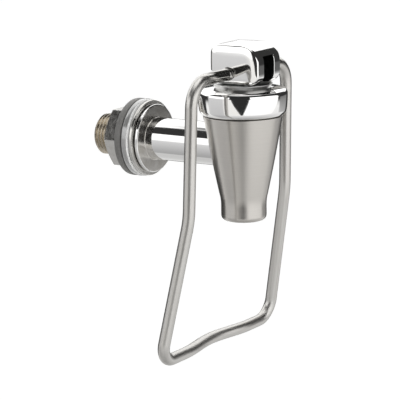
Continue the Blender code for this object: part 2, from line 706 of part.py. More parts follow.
def cup_heights():
    """Bottom of the cup's nose, which sits just off the seat, and the cup's floor."""
    nose_bottom = seat_height(CUP_NOSE_RADIUS) + CLEARANCE * math.sqrt(2)
    return nose_bottom, nose_bottom + CUP_NOSE_HEIGHT


def stem_foot_heights():
    """Heights, from the collar's top down to the bottom of the foot."""
    collar_bottom = cup_heights()[1] + CLEARANCE
    collar_top = collar_bottom + COLLAR_THICKNESS
    foot_top = collar_bottom - NECK_LENGTH
    foot_bottom = foot_top - FOOT_THICKNESS
    return collar_top, collar_bottom, foot_top, foot_bottom


def build_stem():
    collar_top, collar_bottom, foot_top, foot_bottom = stem_foot_heights()
    shaft_top = PIVOT_Z - EYE_RADIUS
    profile = [
        (0, shaft_top),
        (STEM_RADIUS, shaft_top),
        (STEM_RADIUS, collar_top),
        (COLLAR_RADIUS, collar_top),
        (COLLAR_RADIUS, collar_bottom),
        (NECK_RADIUS, collar_bottom),
        (NECK_RADIUS, foot_top),
        (FOOT_RADIUS, foot_top),
        (FOOT_RADIUS, foot_bottom + FOOT_CHAMFER),
        (FOOT_RADIUS - FOOT_CHAMFER, foot_bottom),
        (0, foot_bottom),
    ]
    stem = turned(profile, SMALL_STEPS)
    place(stem, (0, BODY_Y, 0))
    tab_foot = PAD_Z + CLEARANCE - PIVOT_Z
    half = EYE_NECK_HALF
    tuck = math.degrees(math.acos(half / EYE_RADIUS))
    tab_line = [(-half, tab_foot), (half, tab_foot)]
    tab_line += arc((0, 0), EYE_RADIUS, -tuck, 180 + tuck, PIN_STEPS)
    tab = keep_as_cutter(extruded(tab_line, EYE_WIDTH))
    place(tab, (0, PIVOT_Y, PIVOT_Z), SIDEWAYS)
    cut(stem, tab, "UNION")
    eye = keep_as_cutter(rod(PIN_RADIUS + CLEARANCE, 2 * EYE_WIDTH, PIN_STEPS))
    place(eye, (0, PIVOT_Y, PIVOT_Z), SIDEWAYS)
    cut(stem, eye)
    return keep_as_part(stem, "stem", TURNED_STEEL)


def build_seat_cup():
    nose_bottom, floor = cup_heights()
    foot_top, foot_bottom = stem_foot_heights()[2:]
    nose_top = nose_bottom + CUP_RADIUS - CUP_NOSE_RADIUS
    neck_hole = NECK_RADIUS + CLEARANCE
    foot_hole = FOOT_RADIUS + CLEARANCE
    profile = [
        (0, foot_bottom - CLEARANCE),
        (foot_hole, foot_bottom - CLEARANCE),
        (foot_hole, foot_top + CLEARANCE),
        (neck_hole, foot_top + CLEARANCE),
        (neck_hole, floor),
        (CUP_CAVITY, floor),
        (CUP_CAVITY, CUP_FLANGE_TOP),
        (SKIRT_RADIUS, CUP_FLANGE_TOP),
        (SKIRT_RADIUS, CUP_FLANGE_BOTTOM),
        (CUP_RADIUS + CUP_WALL, CUP_FLANGE_BOTTOM),
        (CUP_RADIUS, CUP_FLANGE_BOTTOM - CUP_WALL),
        (CUP_RADIUS, nose_top),
        (CUP_NOSE_RADIUS, nose_bottom),
        (0, nose_bottom),
    ]
    cup = turned(profile, SMALL_STEPS)
    place(cup, (0, BODY_Y, 0))
    return keep_as_part(cup, "seat_cup", SEAT_RUBBER)


def build_stem_washer():
    top = ROOF_Z - CLEARANCE
    bottom = top - STEM_WASHER_THICKNESS
    inner = STEM_RADIUS + CLEARANCE
    washer = turned([(inner, top), (STEM_WASHER_RADIUS, top), (STEM_WASHER_RADIUS, bottom),
                     (inner, bottom)], SMALL_STEPS)
    place(washer, (0, BODY_Y, 0))
    return keep_as_part(washer, "stem_washer", TURNED_STEEL)


def spring_height(turn, first, last):
    """Centre height of the wire: one closed turn at each end, even pitch between."""
    closed = SPRING_WIRE * CLOSED_TURN
    pitch = (last - first - 2 * closed) / (SPRING_TURNS - 2)
    if turn <= 1:
        return first + closed * turn
    if turn >= SPRING_TURNS - 1:
        return last - closed * (SPRING_TURNS - turn)
    return first + closed + pitch * (turn - 1)


def build_return_spring():
    first = stem_foot_heights()[0] + CLEARANCE + SPRING_WIRE / 2
    last = ROOF_Z - CLEARANCE - STEM_WASHER_THICKNESS - CLEARANCE - SPRING_WIRE / 2
    points = []
    for step in range(SPRING_TURNS * SPRING_POINTS + 1):
        turn = step / SPRING_POINTS
        angle = math.tau * turn
        points.append((COIL_RADIUS * math.cos(angle), COIL_RADIUS * math.sin(angle),
                       spring_height(turn, first, last)))
    spring = bent_wire(points, SPRING_WIRE / 2, 1)
    place(spring, (0, BODY_Y, 0))
    smooth(spring)
    return keep_as_part(spring, "return_spring", TURNED_STEEL)


build_valve_body()
build_bonnet()
build_shank()
build_shank_rings()
build_shank_nut()
hang_from_pivot([
    build_lever_block(),
    build_pivot_pin(),
    build_bail_screw("bail_screw_left", -1),
    build_bail_screw("bail_screw_right", 1),
    build_wire_bail(),
])
build_stem()
build_seat_cup()
build_stem_washer()
build_return_spring()
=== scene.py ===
# %% [markdown]
# # A push-back drink spigot, dressed for the studio
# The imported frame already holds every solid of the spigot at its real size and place. What it lacks is
# the look: smooth turned faces, a real thread, soft broken edges, brushed and polished steel, and a studio
# to mirror. Each cell below takes one piece, says what it is on the real spigot and how it is made, and
# then makes it the way it would be made by hand in Blender.

# %% Load the frame
import json
import math

import bmesh
import bpy
from mathutils import Matrix, Vector


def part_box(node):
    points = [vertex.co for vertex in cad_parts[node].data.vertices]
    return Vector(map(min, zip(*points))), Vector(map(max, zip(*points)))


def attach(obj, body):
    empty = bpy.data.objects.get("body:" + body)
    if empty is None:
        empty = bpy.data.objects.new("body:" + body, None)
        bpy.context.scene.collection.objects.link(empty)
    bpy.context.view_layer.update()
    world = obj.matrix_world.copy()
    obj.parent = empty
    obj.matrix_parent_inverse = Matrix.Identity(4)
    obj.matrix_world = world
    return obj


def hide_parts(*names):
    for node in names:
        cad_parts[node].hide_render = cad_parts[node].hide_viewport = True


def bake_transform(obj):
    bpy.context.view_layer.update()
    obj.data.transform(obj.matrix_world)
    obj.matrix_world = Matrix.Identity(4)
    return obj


MM = 0.001
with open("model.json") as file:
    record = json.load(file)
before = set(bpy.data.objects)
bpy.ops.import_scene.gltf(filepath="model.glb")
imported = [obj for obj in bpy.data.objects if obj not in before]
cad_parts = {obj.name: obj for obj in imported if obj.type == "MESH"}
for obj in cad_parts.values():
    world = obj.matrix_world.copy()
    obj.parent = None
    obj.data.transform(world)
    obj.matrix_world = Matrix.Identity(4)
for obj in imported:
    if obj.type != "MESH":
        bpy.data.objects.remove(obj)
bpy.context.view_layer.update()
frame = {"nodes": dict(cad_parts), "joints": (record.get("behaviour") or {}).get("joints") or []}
print("nodes in the frame:", len(frame["nodes"]))

# %% [markdown]
# ## Places that everything is set out from
# Two axes carry the whole spigot: the upright axis of the valve body and the level axis of the shank,
# which is the Y axis of the frame. The rocking block and the wire turn about the pivot. All three are
# read from the frame, so the pieces below can't drift away from the solids they stand for.

# %% Read the axes, the pivot and the boxes
body_low, body_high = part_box("valve_body")
AXIS_Y = (body_low.y + body_high.y) / 2
BODY_AXIS = Vector((0, AXIS_Y, 0))
SHANK_AXIS = Vector((0, 0, 0))
PIVOT = Vector(next(joint for joint in frame["joints"] if joint["name"] == "lever_tilt")["pos_m"])
ALONG_X = Vector((1, 0, 0))
ALONG_Y = Vector((0, 1, 0))
ALONG_Z = Vector((0, 0, 1))


def half_width(node):
    """Half the width of a node's box across the spigot."""
    low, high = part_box(node)
    return (high.x - low.x) / 2


print("body axis at Y", round(AXIS_Y / MM, 2), "mm, pivot at", [round(v / MM, 2) for v in PIVOT])

# %% [markdown]
# ## Finishes: small helpers
# Every surface of the spigot is a metal or a rubber whose look comes from what happened to it: turning
# leaves rings, drawing leaves lines along the wire, tumbling leaves mottling, buffing leaves faint waves.
# All of these are noise, stretched one way and fed to roughness, colour and a very shallow relief. The
# helpers below make that noise from Object coordinates, so it stays on the piece when the piece moves.


# %% Node helpers
FINISHES = {}
MIDDLE_OF_NOISE = (0.3, 0.7)


def add_node(owner, kind, **settings):
    node = owner.node_tree.nodes.new("ShaderNode" + kind)
    for setting, value in settings.items():
        setattr(node, setting, value)
    return node


def fill(node, values):
    """Sets the plain values of a node's inputs."""
    for inlet, value in values.items():
        node.inputs[inlet].default_value = value


def wire_up(owner, outlet, inlet):
    owner.node_tree.links.new(outlet, inlet)


def maths(owner, operation, *values):
    """One step of arithmetic on one or two values."""
    node = add_node(owner, "Math", operation=operation)
    for value, inlet in zip(values, node.inputs):
        wire_up(owner, value, inlet)
    return node.outputs[0]


def new_finish(name, values):
    """A material with its shader's plain values set, and its shader node."""
    finish = bpy.data.materials.new(name)
    finish.use_nodes = True
    shader = finish.node_tree.nodes["Principled BSDF"]
    fill(shader, values)
    return finish, shader


def grain(finish, per_mm, detail, source="Object"):
    """Noise with its own number of grains per millimetre along each axis."""
    where = add_node(finish, "TexCoord")
    stretch = add_node(finish, "Mapping")
    fill(stretch, {"Scale": [count / MM for count in per_mm]})
    noise = add_node(finish, "TexNoise")
    fill(noise, {"Scale": 1.0, "Detail": detail})
    wire_up(finish, where.outputs[source], stretch.inputs["Vector"])
    wire_up(finish, stretch.outputs["Vector"], noise.inputs["Vector"])
    return noise.outputs["Fac"]


def spread(finish, value, low, high, between=MIDDLE_OF_NOISE):
    """A part of the value's range, stretched to run from low to high."""
    mapped = add_node(finish, "MapRange")
    fill(mapped, {"From Min": between[0], "From Max": between[1], "To Min": low, "To Max": high})
    wire_up(finish, value, mapped.inputs["Value"])
    return mapped.outputs["Result"]


def two_tone(finish, value, *tones):
    """A colour that runs from the dark to the light tone with the noise."""
    ramp = add_node(finish, "ValToRGB")
    for element, position, tone in zip(ramp.color_ramp.elements, MIDDLE_OF_NOISE, tones):
        element.position = position
        element.color = (*tone, 1)
    wire_up(finish, value, ramp.inputs["Fac"])
    return ramp.outputs["Color"]


def relief(finish, shader, height, depth):
    """Adds a relief of that depth in metres to whatever relief the shader already has."""
    bump = add_node(finish, "Bump")
    fill(bump, {"Strength": 1.0, "Distance": depth})
    wire_up(finish, height, bump.inputs["Height"])
    if shader.inputs["Normal"].is_linked:
        wire_up(finish, shader.inputs["Normal"].links[0].from_socket, bump.inputs["Normal"])
    wire_up(finish, bump.outputs["Normal"], shader.inputs["Normal"])


def noisy_finish(name, per_mm, detail, rough, tones=None, colour=None, depth=0.0, metallic=1.0,
                 source="Object"):
    """Adds a finish whose colour, roughness and relief all follow one noise."""
    plain = {"Base Color": (*(colour or tones[1]), 1), "Metallic": metallic, "Roughness": rough[0]}
    finish, shader = new_finish(name, plain)
    noise = grain(finish, per_mm, detail, source)
    if tones:
        wire_up(finish, two_tone(finish, noise, *tones), shader.inputs["Base Color"])
    wire_up(finish, spread(finish, noise, *rough), shader.inputs["Roughness"])
    if depth:
        relief(finish, shader, noise, depth)
    FINISHES[name] = finish
    return finish, shader


# %% [markdown]
# ### Polished steel
# The bonnet, the shank and the block were buffed to a mirror. Buffing never leaves a true plane: it leaves
# shallow waves a centimetre long, which bend the reflections, and a haze of very fine scratches. The
# waves are a relief of a few hundredths of a millimetre, and the haze is a roughness that comes and goes.


# %% Polished steel
def polished_steel():
    finish, shader = noisy_finish("polished_steel", (0.6, 0.6, 0.6), 4, rough=(0.035, 0.085),
                                  colour=(0.80, 0.795, 0.785))
    waves = grain(finish, (0.11, 0.11, 0.11), 1)
    relief(finish, shader, waves, 0.022 * MM)
    scratches = grain(finish, (1.5, 9.0, 9.0), 3)
    relief(finish, shader, scratches, 0.0004 * MM)


polished_steel()

# %% [markdown]
# ### Satin pad, satin flange and brushed body
# Some places on the polished pieces were never buffed. The pad on the bonnet is worn satin by the block's
# foot, and the flange's face keeps the rings of its cut. The conical body was finished in the lathe with an
# abrasive pad, so fine rings run round it at every height. A light smears across such rings, not along
# them. Real rings alone would need millions of grains, so they are a faint relief and colour change, and
# the smear is the shader's anisotropy. Its radial tangent runs round the axis, so it takes a quarter turn.

# %% Satin pad, satin flange and brushed body
QUARTER_TURN = 0.25


def ringed_finish(name, axis, smear, *noise, **settings):
    """A finish with rings round that axis, across which a light smears."""
    finish, shader = noisy_finish(name, *noise, **settings)
    fill(shader, {"Anisotropic": smear, "Anisotropic Rotation": QUARTER_TURN})
    around = add_node(finish, "Tangent", direction_type="RADIAL", axis=axis)
    wire_up(finish, around.outputs["Tangent"], shader.inputs["Tangent"])


ringed_finish("satin_pad", "Z", 0.5, (0.35, 0.35, 0.35), 3, rough=(0.28, 0.34),
              tones=((0.50, 0.50, 0.49), (0.58, 0.58, 0.57)))
ringed_finish("satin_flange", "Y", 0.5, (0.35, 0.35, 0.35), 3, rough=(0.17, 0.24),
              tones=((0.54, 0.52, 0.48), (0.62, 0.605, 0.58)))
ringed_finish("brushed_steel", "Z", 0.8, (0.02, 0.02, 5.0), 4, rough=(0.31, 0.35),
              tones=((0.51, 0.49, 0.46), (0.55, 0.53, 0.50)), depth=0.0008 * MM)

# %% [markdown]
# ### Drawn wire
# Drawing pulls the wire through a die, which leaves lines along it. Those lines follow every bend, so the
# noise is read from the wire's own map: one direction runs along the wire in metres, the other round it.
# The level ends beside the block look smoother in the photograph than the legs and the bar.


# %% Drawn wire
def beside_block(finish):
    """1 on the wire's level ends beside the block, 0 on its legs and its bar."""
    where = add_node(finish, "TexCoord")
    place = add_node(finish, "SeparateXYZ")
    wire_up(finish, where.outputs["Object"], place.inputs[0])
    across = maths(finish, "ABSOLUTE", place.outputs["X"])
    near = spread(finish, across, 1, 0, (20 * MM, 32 * MM))
    high = spread(finish, place.outputs["Z"], 0, 1, (-10 * MM, 10 * MM))
    return maths(finish, "MULTIPLY", near, high)


def satin_wire():
    finish, shader = noisy_finish("satin_wire", (0.04, 1.6, 1.0), 3, rough=(0.32, 0.40), source="UV",
                                  tones=((0.50, 0.485, 0.46), (0.58, 0.57, 0.55)), depth=0.003 * MM)
    satin = shader.inputs["Roughness"].links[0].from_socket
    smoother = spread(finish, beside_block(finish), 1.0, 0.3, (0, 1))
    wire_up(finish, maths(finish, "MULTIPLY", satin, smoother), shader.inputs["Roughness"])


satin_wire()

# %% [markdown]
# ### Tumbled, turned and dark steel, and the cut thread
# The nut and the washer were stamped or sawn and then tumbled with stones until their skin was evenly
# dimpled: one noise makes the dimples, one the warm blotches. The hidden pins and the stem keep the rings
# of their last cut. The thread was cut after polishing, so its flanks are dull and warm. The grub screws
# are a dark steel. The block's slot walls and the stem's eye are painted near black: painted shade.

# %% Tumbled, turned and dark steel, and the cut thread
tumbled, tumbled_shader = noisy_finish("stamped_steel", (0.5, 0.5, 0.5), 5, rough=(0.18, 0.28),
                                       tones=((0.53, 0.52, 0.495), (0.60, 0.59, 0.57)))
relief(tumbled, tumbled_shader, grain(tumbled, (1.4, 1.4, 1.4), 2), 0.002 * MM)
noisy_finish("turned_steel", (0.1, 0.1, 4.0), 3, rough=(0.16, 0.30), colour=(0.60, 0.60, 0.60),
             depth=0.003 * MM)
noisy_finish("thread_steel", (1.2, 3.0, 1.2), 4, rough=(0.20, 0.34),
             tones=((0.40, 0.36, 0.29), (0.62, 0.56, 0.47)))
noisy_finish("dark_steel", (1.5, 1.5, 1.5), 3, rough=(0.32, 0.48), colour=(0.25, 0.25, 0.26))
# Painted shade: a near-black colour for the slot's walls and the stem's eye, which lie in the slot's shade.
noisy_finish("painted_slot_shade", (0.8, 0.8, 0.8), 3, rough=(0.40, 0.52),
             tones=((0.03, 0.03, 0.03), (0.06, 0.06, 0.058)))

# %% [markdown]
# ### Gaskets and the seat
# The gaskets are moulded: their skin is even, with a fine grain from the mould, and the pale one is
# glossier than the dark one. Its front round is painted near white, a painted highlight. The seat is a
# milky silicone that lets a little light into its edges.


# %% Gaskets and the seat
def moulded_rubber(name, rough, *tones):
    return noisy_finish(name, (1.2, 1.2, 1.2), 4, rough, tones, depth=0.003 * MM, metallic=0.0)[1]


glossy = moulded_rubber("light_gasket", (0.14, 0.22), (0.28, 0.28, 0.275), (0.33, 0.33, 0.325))
fill(glossy, {"Specular IOR Level": 1.0, "Coat Weight": 1.0, "Coat Roughness": 0.08, "Coat IOR": 1.9})
# Painted highlight: a near-white colour for the pale gasket's front round, where it mirrors the softbox.
moulded_rubber("painted_rim_highlight", (0.22, 0.30), (0.74, 0.74, 0.73), (0.80, 0.80, 0.79))
moulded_rubber("dark_gasket", (0.36, 0.5), (0.155, 0.152, 0.145), (0.19, 0.186, 0.178))
milky = moulded_rubber("seat_rubber", (0.42, 0.55), (0.80, 0.78, 0.74), (0.84, 0.82, 0.78))
fill(milky, {"Subsurface Weight": 0.2, "Subsurface Radius": (1.0, 0.9, 0.8), "Subsurface Scale": 1.0 * MM})
print("finishes:", ", ".join(sorted(FINISHES)))

# %% [markdown]
# ## Shapes: helpers for turned pieces
# Most of the spigot comes off a lathe. Such a piece is one outline, half of its section, led round an
# axis. By hand: one vertex is extruded along the outline and the line is spun through a full turn. Where
# the line meets itself the doubles are merged, and the normals are then turned outwards, because a spin
# can leave them facing in.

# %% Outline helpers
ARC_STEP = math.radians(7.5)
WELD = 0.002 * MM


def arc(centre, radius, start_deg, end_deg, finer=1):
    """Points of an arc in a (radius, height) outline."""
    steps = max(3, round(abs(math.radians(end_deg - start_deg)) / ARC_STEP * finer))
    angles = [math.radians(start_deg + (end_deg - start_deg) * n / steps) for n in range(steps + 1)]
    return [(centre[0] + radius * math.cos(a), centre[1] + radius * math.sin(a)) for a in angles]


def bowed(start, end, rise, steps=12):
    """Points from start to end on a shallow bow that stands out by rise."""
    along = Vector(end) - Vector(start)
    outward = Vector((-along.y, along.x)).normalized()
    points = []
    for n in range(steps + 1):
        share = n / steps
        spot = Vector(start) + along * share + outward * rise * 4 * share * (1 - share)
        points.append((spot.x, spot.y))
    return points


def chamfered(radius, low, high, edge):
    """Half section of a plain rod with both ends chamfered."""
    return [(0, low), (radius - edge, low), (radius, low + edge), (radius, high - edge),
            (radius - edge, high), (0, high)]
# %% Modelling helpers
TURN_STEPS = 144
SMALL_TURN_STEPS = 64
SMOOTH_BELOW = math.radians(28)


def deselect_all():
    if bpy.context.mode != "OBJECT":
        bpy.ops.object.mode_set(mode="OBJECT")
    bpy.ops.object.select_all(action="DESELECT")


def pick(piece):
    """Makes the piece the only selected and the active object."""
    deselect_all()
    piece.select_set(True)
    bpy.context.view_layer.objects.active = piece


def settle(piece):
    """Puts the object at the origin, unturned and unscaled, with its place in its mesh."""
    pick(piece)
    bpy.ops.object.transform_apply(location=True, rotation=True, scale=True)


def edit(piece, kind="VERT", chosen=None):
    """Opens the piece by vertices, edges or faces, with all of them picked, or only the chosen ones."""
    pick(piece)
    bpy.ops.object.mode_set(mode="EDIT")
    bpy.ops.mesh.select_mode(type=kind)
    bpy.ops.mesh.select_all(action="DESELECT" if chosen else "SELECT")
    if chosen:
        bpy.ops.object.mode_set(mode="OBJECT")
        for part in piece.data.edges if kind == "EDGE" else piece.data.polygons:
            part.select = chosen(part)
        bpy.ops.object.mode_set(mode="EDIT")


def weld_outward():
    """Merges the doubles of the piece that is open, and points its faces outwards."""
    bpy.ops.mesh.select_all(action="SELECT")
    bpy.ops.mesh.remove_doubles(threshold=WELD)
    bpy.ops.mesh.normals_make_consistent(inside=False)


def drawn_line(name, spots):
    """Extrudes one vertex from spot to spot, and leaves the line open and picked."""
    deselect_all()
    bpy.ops.mesh.primitive_plane_add(size=MM, location=spots[0])
    piece = bpy.context.object
    piece.name = piece.data.name = name
    edit(piece)
    bpy.ops.mesh.merge(type="CENTER")
    for here, there in zip(spots, spots[1:]):
        bpy.ops.mesh.extrude_vertices_move(TRANSFORM_OT_translate={"value": there - here})
    bpy.ops.mesh.select_all(action="SELECT")
    return piece


def turned(name, outline, centre, axis, steps=TURN_STEPS):
    """Leads one vertex along a (radius, height) outline and spins the line round the axis."""
    outward = ALONG_X if axis != ALONG_X else ALONG_Z
    piece = drawn_line(name, [centre + outward * radius + axis * height for radius, height in outline])
    bpy.ops.mesh.spin(steps=steps, angle=math.tau, center=centre, axis=axis)
    weld_outward()
    settle(piece)
    return piece


def closed(outline):
    return outline + [outline[0]]


def apply_modifier(piece, kind, **settings):
    """Adds a modifier of that kind, sets it and applies it."""
    pick(piece)
    modifier = piece.modifiers.new(kind, kind)
    for setting, value in settings.items():
        setattr(modifier, setting, value)
    bpy.ops.object.modifier_apply(modifier=modifier.name)


def cut(piece, cutter, operation="DIFFERENCE"):
    """Cuts or joins the cutter with the piece and throws the cutter away."""
    apply_modifier(piece, "BOOLEAN", operation=operation, solver="EXACT", object=cutter)
    bpy.data.objects.remove(cutter, do_unlink=True)


def bar_between(low, high):
    """A plain bar from one corner to the other."""
    deselect_all()
    bpy.ops.mesh.primitive_cube_add(size=1, location=(low + high) / 2, scale=high - low)
    bar = bpy.context.object
    settle(bar)
    return bar


def hexagon(flats, foot, head, x=0.0, z=0.0):
    """A six-sided bar along Y, from foot to head, with a corner on top."""
    deselect_all()
    corner = flats / 2 / math.cos(math.pi / 6)
    bpy.ops.mesh.primitive_cylinder_add(vertices=6, radius=corner, depth=head - foot,
                                        location=(x, (foot + head) / 2, z), rotation=(math.pi / 2, 0, 0))
    bar = bpy.context.object
    settle(bar)
    return bar


def rod(radius, start, end, centre, axis, steps=SMALL_TURN_STEPS):
    """A plain round rod between two heights on an axis, for cuts and joins."""
    return turned("rod", [(0, start), (radius, start), (radius, end), (0, end)], centre, axis, steps)


def hand_over(piece, slot, body, *nodes):
    """Shades the piece, gives it its finish and lets it stand for its CAD nodes."""
    pick(piece)
    bpy.ops.object.shade_smooth_by_angle(angle=SMOOTH_BELOW)
    apply_modifier(piece, "WEIGHTED_NORMAL", keep_sharp=True)
    piece.data.materials.clear()
    piece.data.materials.append(FINISHES[slot])
    if body:
        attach(piece, body)
    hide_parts(*nodes)
    triangles = sum(len(face.vertices) - 2 for face in piece.data.polygons)
    print(f"{piece.name}: {triangles} triangles, stands for {', '.join(nodes)}")


def second_finish(piece, name, belongs):
    """Gives another finish to the faces whose middle belongs to that part of the piece."""
    piece.data.materials.append(FINISHES[name])
    chosen = [face for face in piece.data.polygons if belongs(face.center)]
    for face in chosen:
        face.material_index = len(piece.data.materials) - 1
    print(f"{piece.name}: {len(chosen)} faces in {name}")


# %% [markdown]
# ## Valve body
# The brushed cone is one bar, turned outside and bored inside: a thread for the bonnet at the top, the
# chamber, the 45 degree seat and the outlet. Its wall isn't quite straight, it bows out by a hair, and the
# short neck below curves in to the round lip of the outlet. Outside and inside are one closed outline.

# %% Valve body
CONE_BOW = 0.15 * MM
CONE_FOOT = (9.2 * MM, -17.7 * MM)
LIP_TOP = (8.6 * MM, -22.0 * MM)
LIP_EDGE = 2.0 * MM
LIP_LAND = 0.5 * MM
TOP_EDGE = 0.15 * MM
SEAT_BORE = 5.6 * MM
SEAT_LOW_Z = -15.9 * MM
SEAT_Z = -13.9 * MM
SEAT_TOP = (8.0 * MM, -11.5 * MM)
LEDGE_Z = 6.6 * MM
CHAMBER_RADIUS = 9.9 * MM
THREAD_BORE = 12.3 * MM
PORT_RADIUS = 5.5 * MM
cone_top = (half_width("valve_body"), body_high.z)
outlet_z = body_low.z
outlet_bore = LIP_TOP[0] - LIP_EDGE - LIP_LAND


def cone_line(offset=0.0):
    """The cone's outside from its top to the start of the outlet's lip."""
    wall = bowed((cone_top[0] + offset, cone_top[1]), (CONE_FOOT[0] + offset, CONE_FOOT[1]), CONE_BOW)
    neck = bowed(wall[-1], (LIP_TOP[0] + offset, LIP_TOP[1]), -CONE_BOW, steps=6)
    return wall + neck[1:]


def valve_body():
    wall = cone_line()
    top_edge = arc((cone_top[0] - TOP_EDGE, cone_top[1] - TOP_EDGE), TOP_EDGE, 90, 0)
    lip = arc((LIP_TOP[0] - LIP_EDGE, outlet_z + LIP_EDGE), LIP_EDGE, 0, -90)
    inside = [
        (outlet_bore, outlet_z),
        (SEAT_BORE, SEAT_LOW_Z),
        (SEAT_BORE, SEAT_Z),
        SEAT_TOP,
        (CHAMBER_RADIUS, LEDGE_Z),
        (THREAD_BORE, LEDGE_Z),
        (THREAD_BORE, cone_top[1]),
    ]
    body = turned("valve_body_turned", closed(top_edge + wall[1:] + lip + inside), BODY_AXIS, ALONG_Z)
    port_end = AXIS_Y + cone_top[0] + MM
    cut(body, rod(PORT_RADIUS, AXIS_Y + SEAT_TOP[0] / 2, port_end, SHANK_AXIS, ALONG_Y))
    hand_over(body, "brushed_steel", "root", "valve_body")


valve_body()

# %% [markdown]
# ## Bonnet
# The bonnet screws into the body and shows as a bright band with a flat pad on top, where the block's
# foot rolls. The band isn't a plain cylinder: it swells a little at half height, which is what pulls the
# long curved reflections out of it, and its lower lip rolls in above the cone.

# %% Bonnet
PAD_RADIUS = 11.2 * MM
PAD_HEIGHT = 1.7 * MM
PAD_UNDERCUT = 0.8 * MM
PAD_EDGE = 0.3 * MM
CROWN_RISE = 0.7 * MM
CROWN_BOW = 0.14 * MM
RIM_EDGE = 0.4 * MM
BAND_HEIGHT = 9.5 * MM
SHOULDER_RADIUS = 2.54 * MM
SHOULDER_TURN = 36.0
FLANK_TURN = 8.0
LIP_RADIUS = 2.7 * MM
STEM_BORE = 3.3 * MM
POCKET_RADIUS = 8.6 * MM
ROOF = 4.4 * MM
SKIRT_RADIUS = 12.0 * MM
LIP_DROP = 0.22 * MM


def band_line(top_z, bottom_z):
    """The band's outside: rim, shoulder, flank and lip, each running smoothly into the next."""
    lean = math.radians(SHOULDER_TURN)
    tuck = math.radians(FLANK_TURN)
    inset = SHOULDER_RADIUS - RIM_EDGE
    widest_z = top_z - RIM_EDGE - inset * math.sin(lean)
    shoulder_centre = (half_width("bonnet") - SHOULDER_RADIUS, widest_z)
    rim_centre = (shoulder_centre[0] + inset * math.cos(lean), top_z - RIM_EDGE)
    lip_z = bottom_z + LIP_RADIUS
    flank_inset = (widest_z - lip_z) / math.sin(tuck)
    flank_radius = LIP_RADIUS + flank_inset
    flank_centre = (half_width("bonnet") - flank_radius, widest_z)
    lip_centre = (flank_centre[0] + flank_inset * math.cos(tuck), lip_z)
    rim = arc(rim_centre, RIM_EDGE, 90, SHOULDER_TURN)
    shoulder = arc(shoulder_centre, SHOULDER_RADIUS, SHOULDER_TURN, 0, finer=3)
    flank = arc(flank_centre, flank_radius, 0, -FLANK_TURN, finer=8)
    lip = arc(lip_centre, LIP_RADIUS, -FLANK_TURN, -90, finer=2)
    return rim + shoulder[1:] + flank[1:] + lip[1:]


def bonnet():
    low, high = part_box("bonnet")
    pad_z = high.z
    band_top = pad_z - PAD_HEIGHT - CROWN_RISE
    pad_foot = (PAD_RADIUS - PAD_UNDERCUT, pad_z - PAD_HEIGHT)
    pad = [(STEM_BORE, pad_z)] + arc((PAD_RADIUS - PAD_EDGE, pad_z - PAD_EDGE), PAD_EDGE, 90, 0)
    band_foot = band_top - BAND_HEIGHT - LIP_DROP
    band = band_line(band_top, band_foot)
    crown = bowed(pad_foot, band[0], CROWN_BOW, steps=6)
    inside = [
        (SKIRT_RADIUS, band_foot),
        (SKIRT_RADIUS, low.z),
        (POCKET_RADIUS, low.z),
        (POCKET_RADIUS, pad_z - ROOF),
        (STEM_BORE, pad_z - ROOF),
    ]
    cap = turned("bonnet_turned", closed(pad + crown + band[1:] + inside), BODY_AXIS, ALONG_Z)
    hand_over(cap, "polished_steel", "root", "bonnet")
    second_finish(cap, "satin_pad", lambda spot: spot.z > pad_foot[1] + WELD)


bonnet()

# %% [markdown]
# ## Shank
# The shank is a polished tube with a flange, and behind the flange it is threaded for the nut. The tube's
# front end is coped: it is cut to the cone's own surface so that it can be brazed on all round. The thread
# is a single ridge that climbs one pitch each turn. By hand, its triangular section is drawn once and a
# Screw modifier leads it round; the ridge is trimmed by the chamfered blank and joined to the core.

# %% Shank
TUBE_RADIUS = 8.1 * MM
FLANGE_RADIUS = 13.2 * MM
FLANGE_EDGE = 0.45 * MM
FLANGE_THICKNESS = 1.6 * MM
FLANGE_REAR = -5.15 * MM
FLANGE_FILLET = 0.35 * MM
FLANGE_FALL = 0.12 * MM
FLANGE_BOW = 0.02 * MM
SHANK_BORE = 4.2 * MM
NIPPLE_RADIUS = 5.2 * MM
THREAD_MAJOR = 7.94 * MM
THREAD_PITCH = 1.41 * MM
THREAD_DEPTH = 0.86 * MM
THREAD_CREST = 0.18 * MM
THREAD_CHAMFER = 0.9 * MM
THREAD_START = -2.4 * MM
RIDGE_SHARE = 0.96
RIDGE_SUNK = 0.15 * MM
SCREW_STEPS = 72
SEAM = 0.03 * MM
shank_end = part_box("shank")[1].y


def thread_ridge():
    """One triangular ridge, led round the shank by a Screw modifier and capped at both ends."""
    root = THREAD_MAJOR - THREAD_DEPTH
    foot = THREAD_PITCH / 2 * RIDGE_SHARE
    start = THREAD_START - THREAD_PITCH
    section = [
        (root - RIDGE_SUNK, -foot),
        (root, -foot),
        (THREAD_MAJOR, -THREAD_CREST / 2),
        (THREAD_MAJOR, THREAD_CREST / 2),
        (root, foot),
        (root - RIDGE_SUNK, foot),
    ]
    ridge = drawn_line("ridge", [Vector((radius, start + height, 0)) for radius, height in section])
    bpy.ops.mesh.edge_face_add()
    settle(ridge)
    turns = math.ceil((shank_end - THREAD_START) / THREAD_PITCH) + 2
    apply_modifier(ridge, "SCREW", axis="Y", angle=math.tau, screw_offset=THREAD_PITCH, iterations=turns,
                   steps=SCREW_STEPS, render_steps=SCREW_STEPS, use_merge_vertices=False)
    edit(ridge)
    bpy.ops.mesh.remove_doubles(threshold=WELD)
    bpy.ops.mesh.select_all(action="DESELECT")
    bpy.ops.mesh.select_non_manifold()
    bpy.ops.mesh.fill()
    weld_outward()
    deselect_all()
    return ridge


